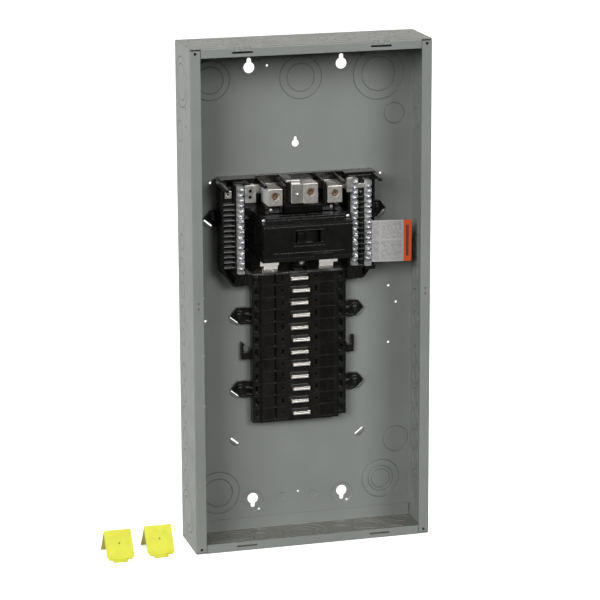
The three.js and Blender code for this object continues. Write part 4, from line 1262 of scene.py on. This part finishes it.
THREAD_PITCH = 0.9


def thread(start, end, crest, root):
    """Outline of a screw thread from start towards end."""
    way = 1 if end > start else -1
    profile = []
    y = start
    while (end - y) * way > 0:
        profile += [(crest, y), (root, y + way * THREAD_PITCH / 2)]
        y += way * THREAD_PITCH
    return profile


def set_screw(name):
    """Lug screw: threaded body with a chamfered rim and a hexagon socket. It turns on its own joint."""
    low, high = edges(name)
    x, z = (low.x + high.x) / 2, (low.z + high.z) / 2
    radius = (high.x - low.x) / 2
    front, back = low.y, high.y
    profile = [(0, back), (radius - 1.2, back), (radius - 0.1, back - 1.2)]
    profile += thread(back - 1.4, front + 1.4, radius - 0.05, radius - 0.55)
    profile += [(radius, front + 0.9), (radius - 0.8, front), (0, front)]
    body = lathe("y", profile, x, z, 28)
    socket = prism("y", circle(2.9, x, z, 6, turn=0.3), front - 1, front + 5)
    rim = lathe("y", [(0, front - 0.1), (3.3, front - 0.1), (2.7, front + 0.5), (0, front + 0.5)], x, z, 24)
    finish(make(name, combine(body, [], [socket, rim]), "zinc_steel", body=name), "yellow_zinc")


def pan_screw(name, recess, turn, slot="zinc_steel"):
    """Pan-head screw in place of the CAD one: domed head, cross or slot recess, threaded shank."""
    low, high = edges(name)
    x, z = (low.x + high.x) / 2, (low.z + high.z) / 2
    radius = (high.x - low.x) / 2
    height = radius * 0.6
    top, seat = low.y, low.y + height
    shank = radius * 0.46
    profile = [(0, top), (radius * 0.45, top + height * 0.05), (radius * 0.78, top + height * 0.25)]
    profile += [(radius * 0.96, top + height * 0.6), (radius, seat), (shank, seat)]
    profile += thread(seat + 0.4, high.y - 1.2, shank, shank * 0.84)
    profile += [(shank * 0.5, high.y), (0, high.y)]
    body = lathe("y", profile, x, z, 28)
    cuts = []
    for angle in ((0, 90) if recess == "cross" else (0,)):
        reach = radius * (0.6 if recess == "cross" else 1.2)
        cut = block(-reach, reach, top - 1, top + height * 0.62, -radius * 0.13, radius * 0.13)
        cuts.append(moved(turned(cut, "y", angle + turn), x, 0, z))
    make(name, combine(body, [], cuts), slot)


def node_block(node):
    """Block as large as a CAD node."""
    low, high = edges(node)
    return block(low.x, high.x, low.y, high.y, low.z, high.z, soft=0.5)


def plates():
    """Small tin-plated pieces."""
    low, high = edges("comb_clip")
    clip = node_block("comb_clip")
    hole = rod("y", 1.7, low.y - 1, high.y + 1, -110.5, 150.5, 20)
    profile = [(0, low.y - 0.1), (3.1, low.y - 0.1), (1.9, low.y + 0.8), (0, low.y + 0.8)]
    dimple = lathe("y", profile, -110.5, 150.5, 24)
    make("comb_clip", combine(clip, [], [hole, dimple]), "tin_plate")
    make("neutral_bar_link", node_block("neutral_bar_link"), "tin_plate")
    for letter, side in SIDES:
        wide = leaning_plate(side * 45.5, 29, 36, 50, -17.5)
        narrow = block(*span(side, 36, 54), -16.8, -14.3, 46, 60, soft=0.5)
        slot = block(*span(side, 40, 50), -26, -8, 45.5, 48, soft=0.5)
        studs = [rod("y", 2.1, -23, -16, side * x, 46.5, 16, soft=0.4) for x in (37, 54)]
        make(f"load_strap_{letter}", combine(wide, [narrow, *studs], [slot]), "tin_plate")


for letter, side in SIDES:
    bus_bar(letter, side)
    line_lug(letter)
neutral_strap()
neutral_lug()
turns = random.Random(7)
for bar in ("neutral_bar_left", "neutral_bar_right", "neutral_bar_far_right"):
    neutral_bar(bar, turns)
plates()
for screw in ("line_lug_screw_a", "line_lug_screw_b", "neutral_lug_screw"):
    set_screw(screw)
for screw, recess in (
        ("main_breaker_screw_a", "cross"), ("main_breaker_screw_b", "cross"),
        ("line_terminal_screw_a", "slot"), ("line_terminal_screw_b", "slot"),
        ("hold_down_screw", "cross"), ("neutral_strap_screw", "slot")):
    pan_screw(screw, recess, turns.uniform(0, 90))
for side in ("left", "right"):
    for screw in ("upper_ear_screw", "rail_screw_upper", "rail_screw_lower"):
        pan_screw(f"{screw}_{side}", "cross", turns.uniform(0, 90), "black_steel")

# ------------------------------------------------------------------ main breaker
BREAKER_HALF = 68
BREAKER_LOW, BREAKER_HIGH = 52, 118
BREAKER_BACK, BREAKER_SPLIT, BREAKER_FRONT = -5.4, -44, -71
COVER_FACE = BREAKER_FRONT + 0.6
SHOULDER = -56
FACE_LOW, FACE_HIGH = 59.5, 109.5
CAVITY_HALF, CAVITY_LOW, CAVITY_HIGH, CAVITY_BACK = 64, 55, 115, -8
COVER_SCREW_X, COVER_SCREW_Z = 64.4, 114.3
WINDOW_HALF, WINDOW_LOW, WINDOW_HIGH = 19, 81, 99
LUG_X = 45.6
HANDLE_PIVOT_Y = -30
HANDLE_REST = -15


def breaker_base():
    back, split = BREAKER_BACK, BREAKER_SPLIT
    outline = [(-BREAKER_HALF, BREAKER_LOW), (BREAKER_HALF, BREAKER_LOW)]
    outline += [(BREAKER_HALF, BREAKER_HIGH), (-BREAKER_HALF, BREAKER_HIGH)]
    body = prism("y", fillet(outline, 1.2, 3), split, back, soft=0.4)
    openings = [block(-CAVITY_HALF, CAVITY_HALF, split - 1, CAVITY_BACK, CAVITY_LOW, CAVITY_HIGH)]
    walls, notches = [], []
    wall_back = CAVITY_BACK + 0.4
    for side in (-1, 1):
        walls.append(block(*span(side, 22, 24), split, wall_back, CAVITY_LOW - 0.4, CAVITY_HIGH + 0.4))
        notches.append(block(*span(side, 21, 25), split - 1, -20, CAVITY_LOW + 0.2, 76))
        line_x = span(side, LUG_X - 10.3, LUG_X + 10.3)
        openings.append(block(*line_x, -11, CAVITY_BACK, CAVITY_HIGH - 1, BREAKER_HIGH + 1))
        openings.append(block(*span(side, 30.7, 60.3), -17.1, -14, BREAKER_LOW - 1, CAVITY_LOW + 1))
        walls.append(block(*span(side, 58, 64.5), split, wall_back, 109, 115.5))
        notches.append(rod("y", 1.9, split - 1, -20, side * COVER_SCREW_X, COVER_SCREW_Z, 16))
        # Finger grooves low on the outer sides.
        for z in (66, 74, 82, 90, 98):
            outer = span(side, BREAKER_HALF - 0.8, BREAKER_HALF + 1)
            openings.append(block(*outer, split + 4, back - 10, z - 1.4, z + 1.4, soft=0.3))
    for low in (74, 102):
        walls.append(block(-22.4, 22.4, -36, wall_back, low, low + 4))
    notches.append(rod("z", 2.9, 73, 107, 0, HANDLE_PIVOT_Y, 20))
    shell = combine(body, [], openings)
    make("main_breaker_base", combine(shell, walls, notches), "breaker_plastic")


def line_across(z, x0, x1, y, height=0.5, width=0.9):
    """Fine raised line along X on a face at y."""
    return block(x0, x1, y - height, y + 0.4, z - width / 2, z + width / 2, soft=0.22)


def line_up(x, z0, z1, y, height=0.5, width=0.9):
    return block(x - width / 2, x + width / 2, y - height, y + 0.4, z0, z1, soft=0.22)


def cover_shape():
    """The cover's outside, drawn from the side and pushed across."""
    back = BREAKER_SPLIT - 0.3
    side_view = [
        (back, BREAKER_LOW), (-64, BREAKER_LOW), (COVER_FACE, FACE_LOW), (COVER_FACE, FACE_HIGH - 3.5),
        (COVER_FACE + 3.4, FACE_HIGH), (-61, FACE_HIGH + 1.6), (SHOULDER, FACE_HIGH + 3),
        (SHOULDER, BREAKER_HIGH), (back, BREAKER_HIGH),
    ]
    rounded = fillet(side_view, [0.6, 1.5, 1.2, 1.2, 1.4, 1.0, 0.8, 1.2, 0.6], 3)
    return prism("x", rounded, -BREAKER_HALF, BREAKER_HALF, soft=0.5)


def cover_hollow():
    back = BREAKER_SPLIT + 0.1
    side_view = [
        (back, CAVITY_LOW), (-62.5, CAVITY_LOW), (-67.4, FACE_LOW + 2), (-67.4, FACE_HIGH - 4),
        (-60, FACE_HIGH - 2), (SHOULDER + 3, FACE_HIGH), (SHOULDER + 3, CAVITY_HIGH), (back, CAVITY_HIGH),
    ]
    return prism("x", side_view, -CAVITY_HALF, CAVITY_HALF)


def cover_lines(front):
    """Fine raised lines: round the window's field, low on the face, and along the upper edges."""
    return [
        line_across(81.2, -22, 25.4, front),
        line_across(100, -22, 25.4, front),
        line_up(25, 81, 100.4, front),
        line_across(76.4, -22, 25.4, front, 0.3, 0.6),
        line_across(63.5, 10, 36.5, front, 0.4, 0.7),
        line_across(66.5, -55, 55, front, 0.2, 0.5),
        line_across(113.4, -BREAKER_HALF + 8, BREAKER_HALF - 8, SHOULDER, 0.6, 0.9),
        line_across(FACE_HIGH - 4.0, -BREAKER_HALF + 2, BREAKER_HALF - 2, front, 0.5, 0.9),
    ]


def breaker_cover():
    back, front = BREAKER_SPLIT - 0.3, COVER_FACE
    removed = [
        cover_hollow(),
        block(-WINDOW_HALF, WINDOW_HALF, front - 2, -60, WINDOW_LOW, WINDOW_HIGH, soft=0.5),
        # Low step in the lower edge of the face.
        block(10, 36, front - 1, front + 2, BREAKER_LOW - 1, FACE_LOW + 4),
        # Dark slot to the left of the window, and a shallow field beside it.
        block(-27.4, -25.2, front - 1, front + 1.4, 83, 99, soft=0.3),
        block(-22.5, -19, front - 1, front + 0.9, 80.6, 100.6, soft=0.2),
        # Parting groove between the two poles below the window.
        block(-0.3, 0.3, front - 1, front + 0.35, FACE_LOW + 1, 78),
    ]
    added = cover_lines(front)
    posts, holes = [], []
    for side in (-1, 1):
        # Recess at each upper corner, with the screw at its lower edge.
        recess = span(side, 60.6, BREAKER_HALF + 1)
        removed.append(block(*recess, SHOULDER - 1, SHOULDER + 1.8, 111.5, BREAKER_HIGH + 1))
        added.append(line_up(side * 59.8, 110, BREAKER_HIGH - 0.6, SHOULDER, 0.8, 0.9))
        posts.append(block(*span(side, 58, 64.5), SHOULDER + 2, back, 109, 115.5))
        holes.append(rod("y", 2, SHOULDER - 1, back + 0.4, side * COVER_SCREW_X, COVER_SCREW_Z, 20))
    shell = combine(cover_shape(), added, removed)
    make("main_breaker_cover", combine(shell, posts, holes), "breaker_plastic")


def handle_place(shape):
    """From the handle's own upright place to where it stands at rest."""
    return moved(turned(shape, "z", HANDLE_REST), 0, HANDLE_PIVOT_Y, 0)


def breaker_handle():
    low, high = WINDOW_LOW + 0.6, WINDOW_HIGH - 0.6
    outer, inner = 37, 35
    spread = math.radians(46)
    steps = 24
    angles = [-math.pi / 2 - spread + 2 * spread * i / steps for i in range(steps + 1)]
    arc = [(outer * math.cos(t), outer * math.sin(t)) for t in angles]
    arc += [(inner * math.cos(t), inner * math.sin(t)) for t in reversed(angles)]
    shield = prism("z", arc, low - 1.5, high + 1.5)
    lever = block(-3, 3, -inner - 1, -4, low + 1, high - 1)
    tip = [(-4.2, -inner - 1), (-3.9, -46.4), (-2.4, -47), (2.4, -47), (3.9, -46.4), (4.2, -inner - 1)]
    grip = prism("z", fillet(tip, [0, 1.0, 0.8, 0.8, 1.0, 0], 3), low + 1, high - 1, soft=0.6)
    added = [lever, grip]
    for side in (-1, 1):
        for y in (-39.5, -41.5, -43.5):
            # Grip ribs down both flanks.
            added.append(block(*span(side, 3.7, 4.5), y - 0.45, y + 0.45, low + 2, high - 2, soft=0.2))
    hub = rod("z", 7, low + 1, high - 1, 0, 0, 28)
    pin_hole = rod("z", 2.9, low - 1, high + 1, 0, 0, 20)
    # Index line across the tip.
    groove = block(-3, 3, -48, -46.5, 89.6, 90.4)
    handle = combine(combine(shield, added, [groove]), [hub], [pin_hole])
    make("main_breaker_handle", handle_place(handle), "breaker_plastic", body="main_breaker_handle")


# ------------------------------------------------------------------ card and loose barriers
CARD_LEAN = 9.5  # how far the card's right end stands in front of its left end


def hang_tag():
    """Printed card, slightly bowed between its ends."""
    low, high = edges("hang_tag")
    thickness = high.y - low.y - CARD_LEAN
    steps = 12
    front, back = [], []
    for i in range(steps + 1):
        t = i / steps
        x = low.x + (high.x - low.x) * t
        y = high.y - CARD_LEAN * t
        bow = 0.12 * math.sin(math.pi * t)
        front.append((x, y - thickness + 0.14 - bow))
        back.append((x, y - bow))
    card = prism("z", front + back[::-1], low.z, high.z)
    make("hang_tag", card, "card")


BARRIER_HALF = 20.25
RIDGE_Y, RIDGE_Z = -57.5, 38.7
FOOT_Y, FLAP_Y = -83.5, -30.5
TAB = 11.5
CREASE = 7
BARRIER_THICKNESS = 1.8


def barrier(name):
    """Bent plastic cover for a line lug, standing on its two feet like a tent."""
    low, high = edges(name)
    middle = (low.x + high.x) / 2
    half, thick = BARRIER_HALF, BARRIER_THICKNESS
    tab_end, inside = FOOT_Y - TAB, RIDGE_Z - thick - 0.6
    outline = [
        (tab_end, 0), (tab_end, thick), (FOOT_Y - 1, thick + 0.6), (FOOT_Y, CREASE), (RIDGE_Y - 3, RIDGE_Z),
        (RIDGE_Y, RIDGE_Z), (FLAP_Y, 0), (FLAP_Y - thick, 0), (RIDGE_Y - 0.6, inside),
        (RIDGE_Y - 2, inside), (FOOT_Y + thick, CREASE - 0.6), (FOOT_Y + 1.4, 0),
    ]
    radii = [0.3, 0.3, 0.5, 1.2, 1.6, 1.6, 0.3, 0.3, 0.2, 0.2, 1.0, 0.3]
    sheet = prism("x", fillet(outline, radii, 4), -half, half, soft=0.35)
    removed = [
        block(-half - 1, -half + 7.5, tab_end - 1, FOOT_Y - 0.8, -1, thick + 1, soft=0.5),
        block(half - 11.5, half + 1, tab_end - 1, FOOT_Y - 0.8, -1, thick + 1, soft=0.5),
        rod("y", 1.4, FOOT_Y - 10, FOOT_Y + 24, 0, 22, 20),
    ]
    added = []
    for side in (-1, 1):
        # Side returns turned back from the sloping face.
        face = [(FOOT_Y + 0.8, 1.5), (FOOT_Y + 0.4, CREASE), (RIDGE_Y - 3, RIDGE_Z - 0.8)]
        face += [(RIDGE_Y + 0.5, RIDGE_Z - 0.8), (RIDGE_Y + 1.5, RIDGE_Z - 4)]
        face += [(FOOT_Y + 4.6, CREASE - 0.6), (FOOT_Y + 4.4, 1.5)]
        edge = span(side, half - 1.4, half)
        added.append(prism("x", fillet(face, 0.6, 2), *edge, soft=0.4))
        # Each lower corner is cut off at a slant.
        slant = [(side * half, -1), (side * half, 4.5), (side * (half - 4.5), -1)]
        removed.append(prism("y", slant, FOOT_Y - 1, FOOT_Y + 6))
    whole = combine(sheet, added, removed)
    make(name, moved(whole, middle, low.y - tab_end, low.z), "yellow_plastic")


breaker_base()
breaker_cover()
breaker_handle()
hang_tag()
barrier("line_barrier_left")
barrier("line_barrier_right")


# ------------------------------------------------------------------ CAD nodes that are kept as they are
def dress(node, slot, bevel=0.3):
    """Gives a CAD node its finish and eases its edges, leaving its mesh alone."""
    kept = bpy.data.objects[node]
    kept.data.materials.clear()
    kept.data.materials.append(LOOKS[slot])
    ease = kept.modifiers.new("eased edges", "BEVEL")
    ease.width = bevel * MM
    ease.segments = 2
    ease.limit_method = "ANGLE"


for letter in ("a", "b"):
    for node in ("line_strap", "bimetal", "contact_arm"):
        dress(f"{node}_{letter}", "copper")
    dress(f"arc_chute_{letter}", "fibre")
dress("trip_bar", "black_plastic")
dress("contact_crossbar", "black_plastic")
dress("handle_pin", "zinc_steel")
dress("handle_spring", "zinc_steel", bevel=0.2)
